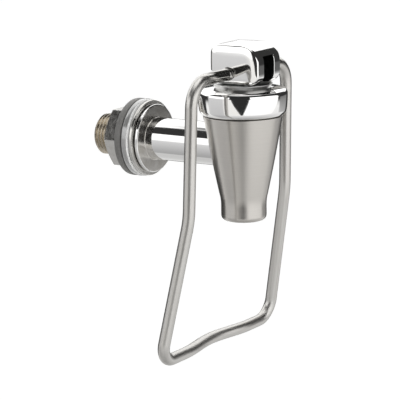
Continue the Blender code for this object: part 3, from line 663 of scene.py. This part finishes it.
def shank():
    front = FLANGE_REAR - FLANGE_THICKNESS
    start = AXIS_Y + SEAT_TOP[0]
    core = THREAD_MAJOR - THREAD_DEPTH
    rim = FLANGE_RADIUS - FLANGE_EDGE
    tail = [(0, shank_end), (core - THREAD_CHAMFER / 2, shank_end), (core, shank_end - THREAD_CHAMFER / 2)]
    rear_edge = arc((rim, FLANGE_REAR - FLANGE_EDGE), FLANGE_EDGE, 90, 0)
    front_edge = arc((rim, front + FLANGE_FALL + FLANGE_EDGE), FLANGE_EDGE, 0, -90)
    fillet = arc((TUBE_RADIUS + FLANGE_FILLET, front - FLANGE_FILLET), FLANGE_FILLET, 90, 180)
    face = bowed(front_edge[-1], fillet[0], FLANGE_BOW)
    flange = [(core, FLANGE_REAR)] + rear_edge + front_edge + face[1:-1]
    tube = fillet + [(TUBE_RADIUS, start), (0, start)]
    piece = turned("shank_turned", tail + flange + tube, SHANK_AXIS, ALONG_Y)
    cope_line = [(0, cone_top[1])] + cone_line(SEAM) + [(0, LIP_TOP[1])]
    cut(piece, turned("cope", cope_line, BODY_AXIS, ALONG_Z))
    nipple_start = AXIS_Y + CHAMBER_RADIUS
    cut(piece, rod(NIPPLE_RADIUS, nipple_start, AXIS_Y + cone_top[0] + TUBE_RADIUS, SHANK_AXIS, ALONG_Y),
        "UNION")
    ridge = thread_ridge()
    blank = chamfered(THREAD_MAJOR + SEAM, THREAD_START, shank_end, THREAD_CHAMFER)
    cut(ridge, turned("blank", blank, SHANK_AXIS, ALONG_Y), "INTERSECT")
    cut(piece, ridge, "UNION")
    cut(piece, rod(SHANK_BORE, AXIS_Y, shank_end + MM, SHANK_AXIS, ALONG_Y))
    hand_over(piece, "polished_steel", "root", "shank")
    second_finish(piece, "thread_steel", lambda spot: spot.y > FLANGE_REAR + WELD)
    second_finish(piece, "satin_flange", lambda spot: front - FLANGE_FILLET < spot.y
                  < front + FLANGE_FALL + WELD and math.hypot(spot.x, spot.z) > TUBE_RADIUS + WELD)


shank()

# %% [markdown]
# ## Washer and gaskets
# Three rings share one drawing: a bore that clears the thread, two flat faces and two rounded rims. The
# steel washer has a small stamped edge, the gaskets have fat moulded ones that bulge a little where the
# nut squeezes them.

# %% Washer and gaskets
RING_BORE = THREAD_MAJOR + 0.3 * MM
GASKET_ROUND = 1.1 * MM
HIGHLIGHT_SHARE = 0.75


def ring(name, node, slot, front_edge, rear_edge, swell):
    """A flat ring round the shank with rounded rims, swollen a little at half its thickness."""
    low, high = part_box(node)
    outer = half_width(node) - swell
    rear = arc((outer - rear_edge, high.y - rear_edge), rear_edge, 90, 0)
    front = arc((outer - front_edge, low.y + front_edge), front_edge, 0, -90)
    side = bowed(rear[-1], front[0], swell, steps=6)
    outline = [(RING_BORE, high.y)] + rear + side[1:-1] + front + [(RING_BORE, low.y)]
    piece = turned(name, closed(outline), SHANK_AXIS, ALONG_Y)
    hand_over(piece, slot, "root", node)
    return piece


ring("front_washer_stamped", "front_washer", "stamped_steel",
     front_edge=0.3 * MM, rear_edge=0.3 * MM, swell=0.02 * MM)
gasket = ring("front_gasket_moulded", "front_gasket", "light_gasket",
              front_edge=GASKET_ROUND, rear_edge=0.5 * MM, swell=0.04 * MM)
# The front round of the pale gasket is painted near white as a painted highlight.
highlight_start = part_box("front_gasket")[0].y + HIGHLIGHT_SHARE * GASKET_ROUND
second_finish(gasket, "painted_rim_highlight", lambda spot: spot.y < highlight_start)
ring("rear_gasket_moulded", "rear_gasket", "dark_gasket",
     front_edge=0.6 * MM, rear_edge=0.6 * MM, swell=0.05 * MM)

# %% [markdown]
# ## Nut
# A hexagonal nut is a six-sided bar whose corners are turned down on both faces, which leaves the curved
# edge that every nut shows. By hand: a six-sided cylinder, kept only where it lies inside a turned lens,
# then bored, with its edges broken by a small bevel.

# %% Nut
NUT_FLATS = 21.6 * MM
NUT_CHAMFER = 0.8 * MM
NUT_BREAK = 0.12 * MM
NUT_FLARE = 0.45 * MM
NUT_FACE_INSET = 0.3 * MM


def shank_nut():
    low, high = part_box("shank_nut")
    corner = NUT_FLATS / 2 / math.cos(math.pi / 6)
    nut = hexagon(NUT_FLATS, low.y, high.y)
    nut.name = nut.data.name = "shank_nut_tumbled"
    edit(nut)
    bpy.ops.transform.rotate(value=math.pi / 6, orient_axis="Y", center_override=(0, (low.y + high.y) / 2, 0))
    settle(nut)
    waist = corner + MM
    face = NUT_FLATS / 2 - NUT_FACE_INSET
    fall = (waist - face) * NUT_CHAMFER / (corner - face)
    lens = [(0, high.y), (face, high.y), (waist, high.y - fall), (waist, low.y + fall), (face, low.y),
            (0, low.y)]
    cut(nut, turned("lens", lens, SHANK_AXIS, ALONG_Y), "INTERSECT")
    bore = THREAD_MAJOR + SEAM
    flare = THREAD_MAJOR + NUT_FLARE
    hole = [(0, low.y - MM), (flare, low.y - MM), (flare, low.y), (bore, low.y + NUT_FLARE),
            (bore, high.y - NUT_FLARE), (flare, high.y), (flare, high.y + MM), (0, high.y + MM)]
    cut(nut, turned("bore", hole, SHANK_AXIS, ALONG_Y))
    apply_modifier(nut, "BEVEL", width=NUT_BREAK, segments=3, limit_method="ANGLE",
                   angle_limit=math.radians(20))
    hand_over(nut, "stamped_steel", "root", "shank_nut")


shank_nut()

# %% [markdown]
# ## Rocking block
# The block rocks on the bonnet's pad and lifts the stem. It began as a bar, milled round at its four
# level edges and then buffed, and the buffing wheel pulled its side faces down towards their rims. That
# soft crown is what gives the broad white roll of light along the top and the front of the side face.
# By hand: a cube, each level edge bevelled by its own radius, each side face inset again and again while
# the inset turns from straight out to straight in, then swollen a little like a pillow, and then the
# slot, the sockets and the holes cut.

# %% Rocking block
FRONT_TOP_RADIUS = 7.0 * MM
FRONT_FOOT_RADIUS = 4.0 * MM
REAR_TOP_RADIUS = 3.5 * MM
REAR_FOOT_RADIUS = 3.0 * MM
ROLLS = ((0, 6, 14.4 * MM, 4), (6, 76, 0.55 * MM, 10), (76, 90, 9.5 * MM, 8))
PILLOW_RADIUS = 85.0 * MM
PILLOW_RINGS = 10
LONG_EDGE = 2.0 * MM
SHARP_ABOVE = math.radians(50)
SLOT_HALF = 3.7 * MM
SLOT_ROOF = 6.6 * MM
SLOT_BACK = 4.5 * MM
SLOT_CORNER = 2.0 * MM
SLOT_EDGE = 0.22 * MM
SOCKET_RADIUS = 2.42 * MM
SOCKET_FLARE = 0.3 * MM
SOCKET_FLOOR = 5.35 * MM
PIN_HOLE = 1.8 * MM
SCREW_HOLE = 1.4 * MM
SCREW_X = 7.3 * MM
block_low, block_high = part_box("lever_block")


def bevel_level_edge(block, y, z, radius):
    """Rounds the edge across the spigot that lies at that depth and height."""
    def level(edge):
        ends = [block.data.vertices[index].co for index in edge.vertices]
        return all(abs(end.y - y) < WELD and abs(end.z - z) < WELD for end in ends)

    edit(block, "EDGE", level)
    bpy.ops.mesh.bevel(offset=radius, segments=16, profile=0.5, affect="EDGES", clamp_overlap=False)
    deselect_all()


def divide_side_edges(block):
    """Divides the straight edges of both side faces, so that the insets can bulge between their ends."""
    def long_and_beside(edge):
        ends = [block.data.vertices[index].co for index in edge.vertices]
        return abs(ends[0].x - ends[1].x) < WELD and (ends[0] - ends[1]).length > LONG_EDGE

    edit(block, "EDGE", long_and_beside)
    bpy.ops.mesh.subdivide(number_cuts=7)
    deselect_all()


def roll_depth():
    """How far the rolled part reaches from the last true section out to the middle of the side."""
    return sum(radius * (math.sin(math.radians(end)) - math.sin(math.radians(start)))
               for start, end, radius, _ in ROLLS)


def roll_side(block, side):
    """Insets a side face again and again: the level faces roll over the edge into the side face."""
    edit(block, "FACE", lambda face: face.normal.x * side > 0.99)
    for start, end, radius, steps in ROLLS:
        turns = [math.radians(start + (end - start) * n / steps) for n in range(steps + 1)]
        for here, there in zip(turns, turns[1:]):
            bpy.ops.mesh.inset(thickness=radius * (math.cos(here) - math.cos(there)),
                               depth=radius * (math.sin(there) - math.sin(here)))
    middle = (block_low + block_high) / 2
    for ring in range(PILLOW_RINGS, 1, -1):
        share = (ring - 1) / ring
        bpy.ops.mesh.extrude_region_move()
        bpy.ops.transform.resize(value=(1, share, share), center_override=middle)
    bpy.ops.mesh.poke()
    deselect_all()


def swell_sides(block):
    """Pulls both sides in towards their rims, so that each bulges like a shallow pillow."""
    middle = (block_low + block_high) / 2
    last_section = block_high.x - roll_depth()
    rim = last_section + ROLLS[0][2] * math.sin(math.radians(ROLLS[0][1]))
    for vertex in block.data.vertices:
        reach = abs(vertex.co.x)
        if reach > last_section:
            off_middle = (vertex.co.y - middle.y) ** 2 + (vertex.co.z - middle.z) ** 2
            share = min(1, (reach - last_section) / (rim - last_section))
            vertex.co.x -= math.copysign(share * off_middle / 2 / PILLOW_RADIUS, vertex.co.x)


def slot_cutter():
    """The slot's shape: open at the front and the foot, with one rounded corner inside."""
    back = PIVOT.y + SLOT_BACK
    roof = PIVOT.z + SLOT_ROOF
    front = block_low.y - 2 * MM
    foot = block_low.z - 2 * MM
    cutter = bar_between(Vector((-SLOT_HALF, front, foot)), Vector((SLOT_HALF, back, roof)))
    bevel_level_edge(cutter, back, roof, SLOT_CORNER)
    return cutter


def break_slot_rim(block):
    """Bevels only the sharp edges where the slot meets the block's outside."""
    edit(block, "EDGE")
    bpy.ops.mesh.select_all(action="DESELECT")
    form = bmesh.from_edit_mesh(block.data)
    for edge in form.edges:
        middle = (edge.verts[0].co + edge.verts[1].co) / 2
        sharp = len(edge.link_faces) == 2 and edge.calc_face_angle(0) > SHARP_ABOVE
        on_cheek = all(abs(abs(vert.co.x) - SLOT_HALF) < WELD for vert in edge.verts)
        on_roof = all(abs(vert.co.z - PIVOT.z - SLOT_ROOF) < WELD for vert in edge.verts)
        inside = abs(middle.y - PIVOT.y - SLOT_BACK) < SLOT_CORNER and middle.z > block_low.z + MM
        corner = on_cheek and on_roof
        edge.select = sharp and (on_cheek or on_roof) and not inside and not corner
    bmesh.update_edit_mesh(block.data)
    bpy.ops.mesh.bevel(offset=SLOT_EDGE, segments=3, affect="EDGES", clamp_overlap=True)
    deselect_all()


def in_slot(spot):
    """Whether that spot lies on one of the slot's walls, behind its polished rim."""
    return (abs(spot.x) < SLOT_HALF + WELD and spot.y > block_low.y + 1.5 * SLOT_EDGE
            and spot.y < PIVOT.y + SLOT_BACK + WELD and spot.z < PIVOT.z + SLOT_ROOF + WELD)


def lever_block():
    rolled = ALONG_X * roll_depth()
    block = bar_between(block_low + rolled, block_high - rolled)
    block.name = block.data.name = "lever_block_polished"
    bevel_level_edge(block, block_low.y, block_high.z, FRONT_TOP_RADIUS)
    bevel_level_edge(block, block_low.y, block_low.z, FRONT_FOOT_RADIUS)
    bevel_level_edge(block, block_high.y, block_high.z, REAR_TOP_RADIUS)
    bevel_level_edge(block, block_high.y, block_low.z, REAR_FOOT_RADIUS)
    divide_side_edges(block)
    roll_side(block, 1)
    roll_side(block, -1)
    swell_sides(block)
    cut(block, slot_cutter())
    break_slot_rim(block)
    face = block_high.x
    flare = SOCKET_RADIUS + SOCKET_FLARE
    half_line = [(0, face + MM), (flare, face + MM), (flare, face), (SOCKET_RADIUS, face - SOCKET_FLARE),
                 (SOCKET_RADIUS, SOCKET_FLOOR), (PIN_HOLE, SOCKET_FLOOR)]
    mirrored = [(radius, -height) for radius, height in reversed(half_line)]
    cut(block, turned("sockets", half_line + mirrored, PIVOT, ALONG_X, SMALL_TURN_STEPS))
    for side in (-1, 1):
        centre = Vector((side * SCREW_X, 0, PIVOT.z))
        cut(block, rod(SCREW_HOLE, PIVOT.y, block_high.y + MM, centre, ALONG_Y))
    hand_over(block, "polished_steel", "lever", "lever_block")
    # The slot's walls get painted shade: near black, for the shade inside the slot.
    second_finish(block, "painted_slot_shade", in_slot)


lever_block()

# %% [markdown]
# ## Wire bail
# A glass pushes this wire back, which rocks the block. It is one length of drawn wire with six bends. By
# hand it is a curve: a path through the bends, with every bend as a true arc, and a round bevel for the
# wire's thickness. The curve becomes a mesh, its end caps are welded on, and it gets a map of its own so
# that the drawing lines can follow it round the bends.

# %% Wire bail
WIRE_RADIUS = 2.28 * MM
LEG_TOP_HALF = 34.1 * MM
LEG_KNEE = Vector((35.1 * MM, 1.5 * MM, -50.5 * MM))
SHOULDER_BEND = 9.5 * MM
KNEE_BEND = 45.0 * MM
FOOT_BEND = 7.5 * MM
BAR_STRAIGHT = 16.0 * MM
WIRE_END = 5.65 * MM
BEND_STEP = math.radians(4)
BOW_STEPS = 24
BEAD_START = 8.9 * MM
BEADS = {0.0: 1.0, 0.08: 1.07, 0.2: 1.1, 0.5: 1.11, 0.7: 1.09, 0.8: 1.0, 0.88: 0.955, 1.02: 0.955, 1.1: 1.0,
         1.2: 1.06, 1.4: 1.075, 1.62: 1.06, 1.72: 1.0, 1.8: 0.965, 1.95: 0.965, 2.05: 1.0}
bail_low, bail_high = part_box("wire_bail")
BAR_BACK = 12.0 * MM
BOW_DEPTH = bail_high.y - WIRE_RADIUS - PIVOT.y - BAR_BACK
LEG_FOOT = Vector((39.86 * MM, BAR_BACK, bail_low.z + WIRE_RADIUS - PIVOT.z))


def bent_path(corners):
    """A path through (corner, bend radius) pairs, each bend a circular arc."""
    path = [corners[0][0]]
    for (before, _), (here, radius), (after, _) in zip(corners, corners[1:], corners[2:]):
        if not radius:
            path.append(here)
            continue
        back = (before - here).normalized()
        onward = (after - here).normalized()
        half = back.angle(onward) / 2
        centre = here + (back + onward).normalized() * radius / math.sin(half)
        start = here + back * radius / math.tan(half) - centre
        end = here + onward * radius / math.tan(half) - centre
        steps = max(4, round(start.angle(end) / BEND_STEP))
        for n in range(steps + 1):
            path.append(centre + radius * start.normalized().slerp(end.normalized(), n / steps))
    path.append(corners[-1][0])
    return path


def bail_path():
    bow_half = LEG_FOOT.x - BAR_STRAIGHT
    beads = [(Vector((BEAD_START + step * MM, 0, 0)), 0) for step in BEADS]
    half = bent_path([
        (Vector((WIRE_END, 0, 0)), 0),
        *beads,
        (Vector((LEG_TOP_HALF, 0, 0)), SHOULDER_BEND),
        (LEG_KNEE, KNEE_BEND),
        (LEG_FOOT, FOOT_BEND),
        (Vector((bow_half, LEG_FOOT.y, LEG_FOOT.z)), 0),
    ])
    for n in range(1, BOW_STEPS + 1):
        share = n / BOW_STEPS
        back = BAR_BACK + BOW_DEPTH * (1 - math.cos(math.pi * share)) / 2
        half.append(Vector((bow_half * (1 - share), back, LEG_FOOT.z)))
    other = [Vector((-spot.x, spot.y, spot.z)) for spot in half[:-1]]
    return [PIVOT + spot for spot in other + half[::-1]]


def wire_mesh(path, radius):
    """A round wire along the path, as one closed mesh."""
    curve = bpy.data.curves.new("wire_bail_drawn", "CURVE")
    curve.dimensions = "3D"
    curve.bevel_depth = radius
    curve.bevel_resolution = 8
    curve.use_fill_caps = True
    spline = curve.splines.new("POLY")
    spline.points.add(len(path) - 1)
    for point, spot in zip(spline.points, path):
        point.co = (*spot, 1)
        point.radius = BEADS.get(round((abs(spot.x) - BEAD_START) / MM, 2), 1.0)
    wire = bpy.data.objects.new("wire_bail_drawn", curve)
    bpy.context.scene.collection.objects.link(wire)
    pick(wire)
    bpy.ops.object.convert(target="MESH")
    wire = bpy.context.object
    edit(wire)
    weld_outward()
    deselect_all()
    return wire


def map_along(wire, path):
    """A map whose first direction runs along the wire and whose second runs round it, in metres."""
    lengths = [0.0]
    for here, there in zip(path, path[1:]):
        lengths.append(lengths[-1] + (there - here).length)
    mesh = wire.data
    while mesh.uv_layers:
        mesh.uv_layers.remove(mesh.uv_layers[0])
    layer = mesh.uv_layers.new(name="along_wire")
    middle = sum((spot for spot in path), Vector()) / len(path)
    for face in mesh.polygons:
        nearest = min(range(len(path)), key=lambda n: (path[n] - face.center).length_squared)
        before, after = path[max(nearest - 1, 0)], path[min(nearest + 1, len(path) - 1)]
        along = (after - before).normalized()
        inward = (middle - path[nearest])
        inward = (inward - along * inward.dot(along)).normalized()
        sideways = along.cross(inward)
        angles = []
        for index in face.loop_indices:
            spot = mesh.vertices[mesh.loops[index].vertex_index].co
            spoke = spot - path[nearest]
            angle = math.atan2(spoke.dot(sideways), spoke.dot(inward))
            if angles and abs(angle - angles[0]) > math.pi:
                angle += math.tau if angle < angles[0] else -math.tau
            angles.append(angle)
            travel = lengths[nearest] + spoke.dot(along)
            layer.data[index].uv = (travel, angle * WIRE_RADIUS)
    return lengths[-1]


def wire_bail():
    path = bail_path()
    wire = wire_mesh(path, WIRE_RADIUS)
    length = map_along(wire, path)
    print("wire length", round(length / MM, 1), "mm")
    hand_over(wire, "satin_wire", "lever", "wire_bail")


wire_bail()

# %% [markdown]
# ## Stem, pin and grub screws
# These sit inside or behind the block. The stem ends in a flat eye that the pin passes through, and the
# slot shows it in shadow, so the eye and its tab are painted near black as painted shade. The grub screws
# bite on the wire's ends from behind, each with a hexagonal key.

# %% Stem, pin and grub screws
STEM_RADIUS = 3.0 * MM
EYE_RADIUS = 3.3 * MM
EYE_HALF = 3.3 * MM
TAB_HALF = 2.6 * MM
PIN_RADIUS = 1.5 * MM
SCREW_RADIUS = 1.25 * MM
SCREW_KEY = 1.3 * MM
FOOT_RADIUS = 2.7 * MM
FOOT_HEIGHT = 1.5 * MM
FOOT_EDGE = 0.3 * MM
NECK_RADIUS = 1.7 * MM
NECK_LENGTH = 1.6 * MM
COLLAR_RADIUS = 4.8 * MM
COLLAR_HEIGHT = 0.9 * MM
PIN_EDGE = 0.2 * MM
PAD_GAP = 0.3 * MM
SCREW_EDGE = 0.15 * MM
stem_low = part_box("stem")[0]


def stem_outline():
    """Half section of the stem below its eye: shaft, spring collar, neck and foot."""
    foot = stem_low.z
    neck = foot + FOOT_HEIGHT
    collar = neck + NECK_LENGTH
    collar_top = collar + COLLAR_HEIGHT
    top = PIVOT.z - EYE_RADIUS
    return [(0, top), (STEM_RADIUS, top), (STEM_RADIUS, collar_top), (COLLAR_RADIUS, collar_top),
            (COLLAR_RADIUS, collar), (NECK_RADIUS, collar), (NECK_RADIUS, neck), (FOOT_RADIUS, neck),
            (FOOT_RADIUS, foot + FOOT_EDGE), (FOOT_RADIUS - FOOT_EDGE, foot), (0, foot)]


def stem():
    shaft = turned("stem_turned", stem_outline(), BODY_AXIS, ALONG_Z, SMALL_TURN_STEPS)
    tab_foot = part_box("bonnet")[1].z + PAD_GAP
    tab = bar_between(Vector((-EYE_HALF, PIVOT.y - TAB_HALF, tab_foot)),
                      Vector((EYE_HALF, PIVOT.y + TAB_HALF, PIVOT.z)))
    cut(tab, rod(EYE_RADIUS, -EYE_HALF, EYE_HALF, PIVOT, ALONG_X), "UNION")
    cut(shaft, tab, "UNION")
    cut(shaft, rod(PIN_HOLE, -2 * EYE_HALF, 2 * EYE_HALF, PIVOT, ALONG_X))
    hand_over(shaft, "turned_steel", "stem", "stem")
    # Painted shade: the eye and the tab above the pad are coloured near black because they lie in the slot's
    # shadow.
    second_finish(shaft, "painted_slot_shade", lambda spot: spot.z > tab_foot)


def pivot_pin():
    reach = half_width("pivot_pin")
    outline = chamfered(PIN_RADIUS, -reach, reach, PIN_EDGE)
    pin = turned("pivot_pin_turned", outline, PIVOT, ALONG_X, SMALL_TURN_STEPS)
    hand_over(pin, "turned_steel", "lever", "pivot_pin")


def bail_screw(node):
    low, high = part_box(node)
    centre = Vector(((low.x + high.x) / 2, 0, PIVOT.z))
    outline = chamfered(SCREW_RADIUS, low.y, high.y, SCREW_EDGE)
    screw = turned(node + "_turned", outline, centre, ALONG_Y, SMALL_TURN_STEPS)
    key_depth = (high.y - low.y) / 2
    cut(screw, hexagon(SCREW_KEY, high.y - key_depth, high.y + key_depth, centre.x, centre.z))
    hand_over(screw, "dark_steel", "lever", node)


stem()
pivot_pin()
bail_screw("bail_screw_left")
bail_screw("bail_screw_right")

# %% [markdown]
# ## Return spring, seat cup and stem washer
# These three are shut inside the body, and the solids already have their true form, so each is copied from
# the frame, its loose triangles are welded, and the copy is shaded smooth. The spring and the cup are
# held at one end by the body and moved at the other by the stem, but here each only has its place baked into
# its mesh.


# %% Return spring, seat cup and stem washer
def welded_copy(node, name):
    """A copy of a solid from the frame with its triangles joined up."""
    source = frame["nodes"][node]
    piece = bpy.data.objects.new(name, source.data.copy())
    piece.data.name = name
    bpy.context.scene.collection.objects.link(piece)
    edit(piece)
    bpy.ops.mesh.remove_doubles(threshold=WELD)
    deselect_all()
    return piece


def blend_between(piece, node):
    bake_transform(piece)


washer = welded_copy("stem_washer", "stem_washer_turned")
hand_over(washer, "turned_steel", "root", "stem_washer")
spring = welded_copy("return_spring", "return_spring_coiled")
hand_over(spring, "turned_steel", None, "return_spring")
blend_between(spring, "return_spring")
cup = welded_copy("seat_cup", "seat_cup_moulded")
hand_over(cup, "seat_rubber", None, "seat_cup")
blend_between(cup, "seat_cup")

# %% [markdown]
# ## Studio: camera
# The photograph was taken with a long lens from the left of the spigot and a little above it. The camera
# is set by what it looks at: the crossing of the two axes lands on one known spot of the picture.

# %% Camera
CAMERA_AZIMUTH = math.radians(-57.708)
CAMERA_ELEVATION = math.radians(11.724)
CAMERA_ROLL = math.radians(0.828)
CAMERA_DISTANCE = 0.785995
PICTURE = 400
LENS_PIXELS = 2092.179
AXES_MEET_AT = (243.25, 146.522)


def place_camera():
    back = Vector((math.sin(CAMERA_AZIMUTH) * math.cos(CAMERA_ELEVATION),
                   -math.cos(CAMERA_AZIMUTH) * math.cos(CAMERA_ELEVATION),
                   math.sin(CAMERA_ELEVATION)))
    level_right = Vector((math.cos(CAMERA_AZIMUTH), math.sin(CAMERA_AZIMUTH), 0))
    level_up = back.cross(level_right)
    right = math.cos(CAMERA_ROLL) * level_right - math.sin(CAMERA_ROLL) * level_up
    up = math.sin(CAMERA_ROLL) * level_right + math.cos(CAMERA_ROLL) * level_up
    beside = (AXES_MEET_AT[0] - PICTURE / 2) / LENS_PIXELS * CAMERA_DISTANCE
    above = -(AXES_MEET_AT[1] - PICTURE / 2) / LENS_PIXELS * CAMERA_DISTANCE
    spot = BODY_AXIS - right * beside - up * above + back * CAMERA_DISTANCE
    deselect_all()
    bpy.ops.object.camera_add(location=spot)
    camera = bpy.context.object
    turn = Matrix((right, up, back)).transposed()
    camera.rotation_euler = turn.to_euler()
    camera.data.sensor_width = 36.0
    camera.data.lens = 36.0 * LENS_PIXELS / PICTURE
    bpy.context.scene.camera = camera
    print("camera at", [round(v, 3) for v in spot], "lens", round(camera.data.lens, 1), "mm")
    return back


view_back = place_camera()

# %% [markdown]
# ## Studio: floor, lamps and cards
# Polished steel shows nothing but the room, so the room decides the picture. The camera sees a white tent
# and a pale floor, but the steel mirrors cards. A dark card stands all round, and softboxes with rounded
# corners stand before it on the left, on the right, behind and above. A wedge between the two front
# softboxes draws the dark V on the bonnet, two small dark cards behind darken the edges that turn away,
# and the table below grows darker towards its middle. The cards are seen only in reflections; three soft
# lamps light the rubber and the floor.

# %% Floor and world
FLOOR_Z = -1.2
FLOOR_SIZE = 40
FLOOR_GLOW = 0.62
TENT_FILL = 0.45


def seen_or_mirrored(owner):
    """1 for camera, glossy and transmission rays, 0 for the rest."""
    path = add_node(owner, "LightPath")
    either = maths(owner, "MAXIMUM", path.outputs["Is Camera Ray"], path.outputs["Is Glossy Ray"])
    return maths(owner, "MAXIMUM", either, path.outputs["Is Transmission Ray"])


def pale_world():
    world = bpy.data.worlds.new("tent")
    bpy.context.scene.world = world
    world.use_nodes = True
    sky = world.node_tree.nodes["Background"]
    fill(sky, {"Color": (1, 1, 1, 1)})
    wire_up(world, spread(world, seen_or_mirrored(world), TENT_FILL, 1.0, (0, 1)), sky.inputs["Strength"])


def pale_floor():
    deselect_all()
    bpy.ops.mesh.primitive_plane_add(size=FLOOR_SIZE, location=(0, 0, FLOOR_Z))
    floor = bpy.context.object
    floor.name = "studio_floor"
    finish, shader = new_finish("floor_card", {"Base Color": (0.80, 0.80, 0.79, 1), "Metallic": 0.0,
                                               "Roughness": 0.9, "Emission Color": (1, 1, 1, 1)})
    glow = spread(finish, seen_or_mirrored(finish), 0.0, FLOOR_GLOW, (0, 1))
    wire_up(finish, glow, shader.inputs["Emission Strength"])
    floor.data.materials.append(finish)


pale_world()
pale_floor()

# %% Cards, placed by heading and height
CARD_COLUMNS = 72
CARD_ROWS = 36
ALL_ROUND = (-180, 180)


def direction(heading, height):
    """The way to a heading, counted from the camera's towards the picture's right, and a height."""
    straight = Vector((view_back.x, view_back.y, 0)).normalized()
    sideways = Vector((-straight.y, straight.x, 0))
    angle = math.radians(heading)
    rise = math.radians(height)
    level = straight * math.cos(angle) + sideways * math.sin(angle)
    return level * math.cos(rise) + ALONG_Z * math.sin(rise)


def depth_inside(across, up, width, height, corner):
    """How far a spot lies inside a card with rounded corners, in degrees."""
    if width >= 360:
        return min(up, height - up)
    x = abs(across - width / 2) - (width / 2 - corner)
    y = abs(up - height / 2) - (height / 2 - corner)
    return corner - math.hypot(max(x, 0), max(y, 0)) - min(max(x, y), 0)


def card_finish(name, colour):
    """A plain glow that fades out where the card's edge is soft."""
    finish = bpy.data.materials.new(name)
    finish.use_nodes = True
    finish.node_tree.nodes.clear()
    glow = add_node(finish, "Emission")
    fill(glow, {"Color": (*colour, 1)})
    level = add_node(finish, "Attribute", attribute_name="glow")
    edge = add_node(finish, "Attribute", attribute_name="fade")
    clear = add_node(finish, "BsdfTransparent")
    mix = add_node(finish, "MixShader")
    out = add_node(finish, "OutputMaterial")
    wire_up(finish, level.outputs["Fac"], glow.inputs["Strength"])
    wire_up(finish, edge.outputs["Fac"], mix.inputs["Fac"])
    wire_up(finish, clear.outputs[0], mix.inputs[1])
    wire_up(finish, glow.outputs[0], mix.inputs[2])
    wire_up(finish, mix.outputs[0], out.inputs["Surface"])
    return finish


def flattened(height, away):
    """The height at which a level line of a flat card is seen, that many degrees beside its middle."""
    return math.degrees(math.atan(math.tan(math.radians(height)) * math.cos(math.radians(away))))


def card(name, reach, heights, headings, glow, soft=3.0, corner=0.0, opening=(0, 0), open_by=27,
         facing=None, colour=(1, 1, 1)):
    """A card round the spigot. Its glow runs from foot to top, its sides open out from its foot."""
    deselect_all()
    bpy.ops.mesh.primitive_grid_add(x_subdivisions=CARD_COLUMNS, y_subdivisions=CARD_ROWS, size=1)
    piece = bpy.context.object
    piece.name = name
    fade = piece.data.attributes.new("fade", "FLOAT", "POINT")
    level = piece.data.attributes.new("glow", "FLOAT", "POINT")
    for vertex in piece.data.vertices:
        across, up = vertex.co.x + 0.5, vertex.co.y + 0.5
        height = heights[0] + (heights[1] - heights[0]) * up
        opened = math.sin(min(1, (height - heights[0]) / open_by) * math.pi / 2)
        left = headings[0] + opening[0] * opened
        right = headings[1] + opening[1] * opened
        width = right - left
        inside = depth_inside(width * across, height - heights[0], width, heights[1] - heights[0], corner)
        fade.data[vertex.index].value = min(1.0, max(0.0, inside / soft)) if soft else 1.0
        level.data[vertex.index].value = glow[0] + (glow[1] - glow[0]) * up
        beside = left + width * across
        rise = height if facing is None else flattened(height, beside - facing)
        vertex.co = BODY_AXIS + reach * direction(beside, rise)
    piece.data.materials.append(card_finish(name, colour))
    for kind in ("camera", "diffuse", "shadow", "transmission"):
        setattr(piece, "visible_" + kind, False)


card("dark_surround", 2.2, (-18, 66), ALL_ROUND, (0.04, 0.04), soft=0)
card("table_below", 1.15, (-90, -9), ALL_ROUND, (0.40, 1.1), soft=3)
card("dark_corner", 1.1, (-22, -3), (106, 150), (0.75, 0.08), soft=6, corner=6)
card("dark_back", 1.12, (-30, 8), (142, 250), (0.04, 0.04), soft=2, corner=6)
card("softbox_top", 2.0, (62, 90), ALL_ROUND, (1.8, 1.8), soft=3)
card("sheet_left", 1.05, (-60, 4), (-102, -50), (0.40, 0.84), soft=5, corner=8, colour=(0.99, 0.99, 1))
card("sheet_front", 1.06, (-34, 4), (-62, -2), (1.0, 1.1), soft=5, corner=8, colour=(1, 0.99, 0.97))
card("softbox_left", 1.0, (-2, 32), (-101, -34), (1.3, 2.0), soft=4, corner=10, facing=-50)
card("softbox_right", 1.0, (-32, 34), (-4, 102), (1.2, 1.8), soft=2.5, corner=12, facing=32)
card("softbox_back", 1.0, (8, 58), (138, 262), (1.6, 1.6), soft=2, corner=14)
card("dark_gap", 0.9, (-26, 50), (-4.5, -3.5), (0.03, 0.03), soft=2, opening=(-32, 22))

# %% Lamps
LAMP_REACH = 1.4


def soft_lamp(name, heading, height, width, watts):
    """A square area lamp at that heading and height, facing the spigot."""
    toward = direction(heading, height)
    deselect_all()
    bpy.ops.object.light_add(type="AREA", location=BODY_AXIS + toward * LAMP_REACH)
    lamp = bpy.context.object
    lamp.name = name
    lamp.rotation_euler = toward.to_track_quat("Z", "Y").to_euler()
    lamp.data.size = width
    lamp.data.energy = watts
    lamp.visible_camera = False
    lamp.visible_glossy = False


soft_lamp("lamp_front", 62, 10, 0.8, 38)
soft_lamp("lamp_left", -80, 25, 1.0, 3)
soft_lamp("lamp_top", 120, 70, 1.0, 8)

# %% [markdown]
# ## Last lines
# The picture is shown as it is calculated, with the plain Standard view.

# %% View
bpy.context.scene.view_settings.view_transform = "Standard"
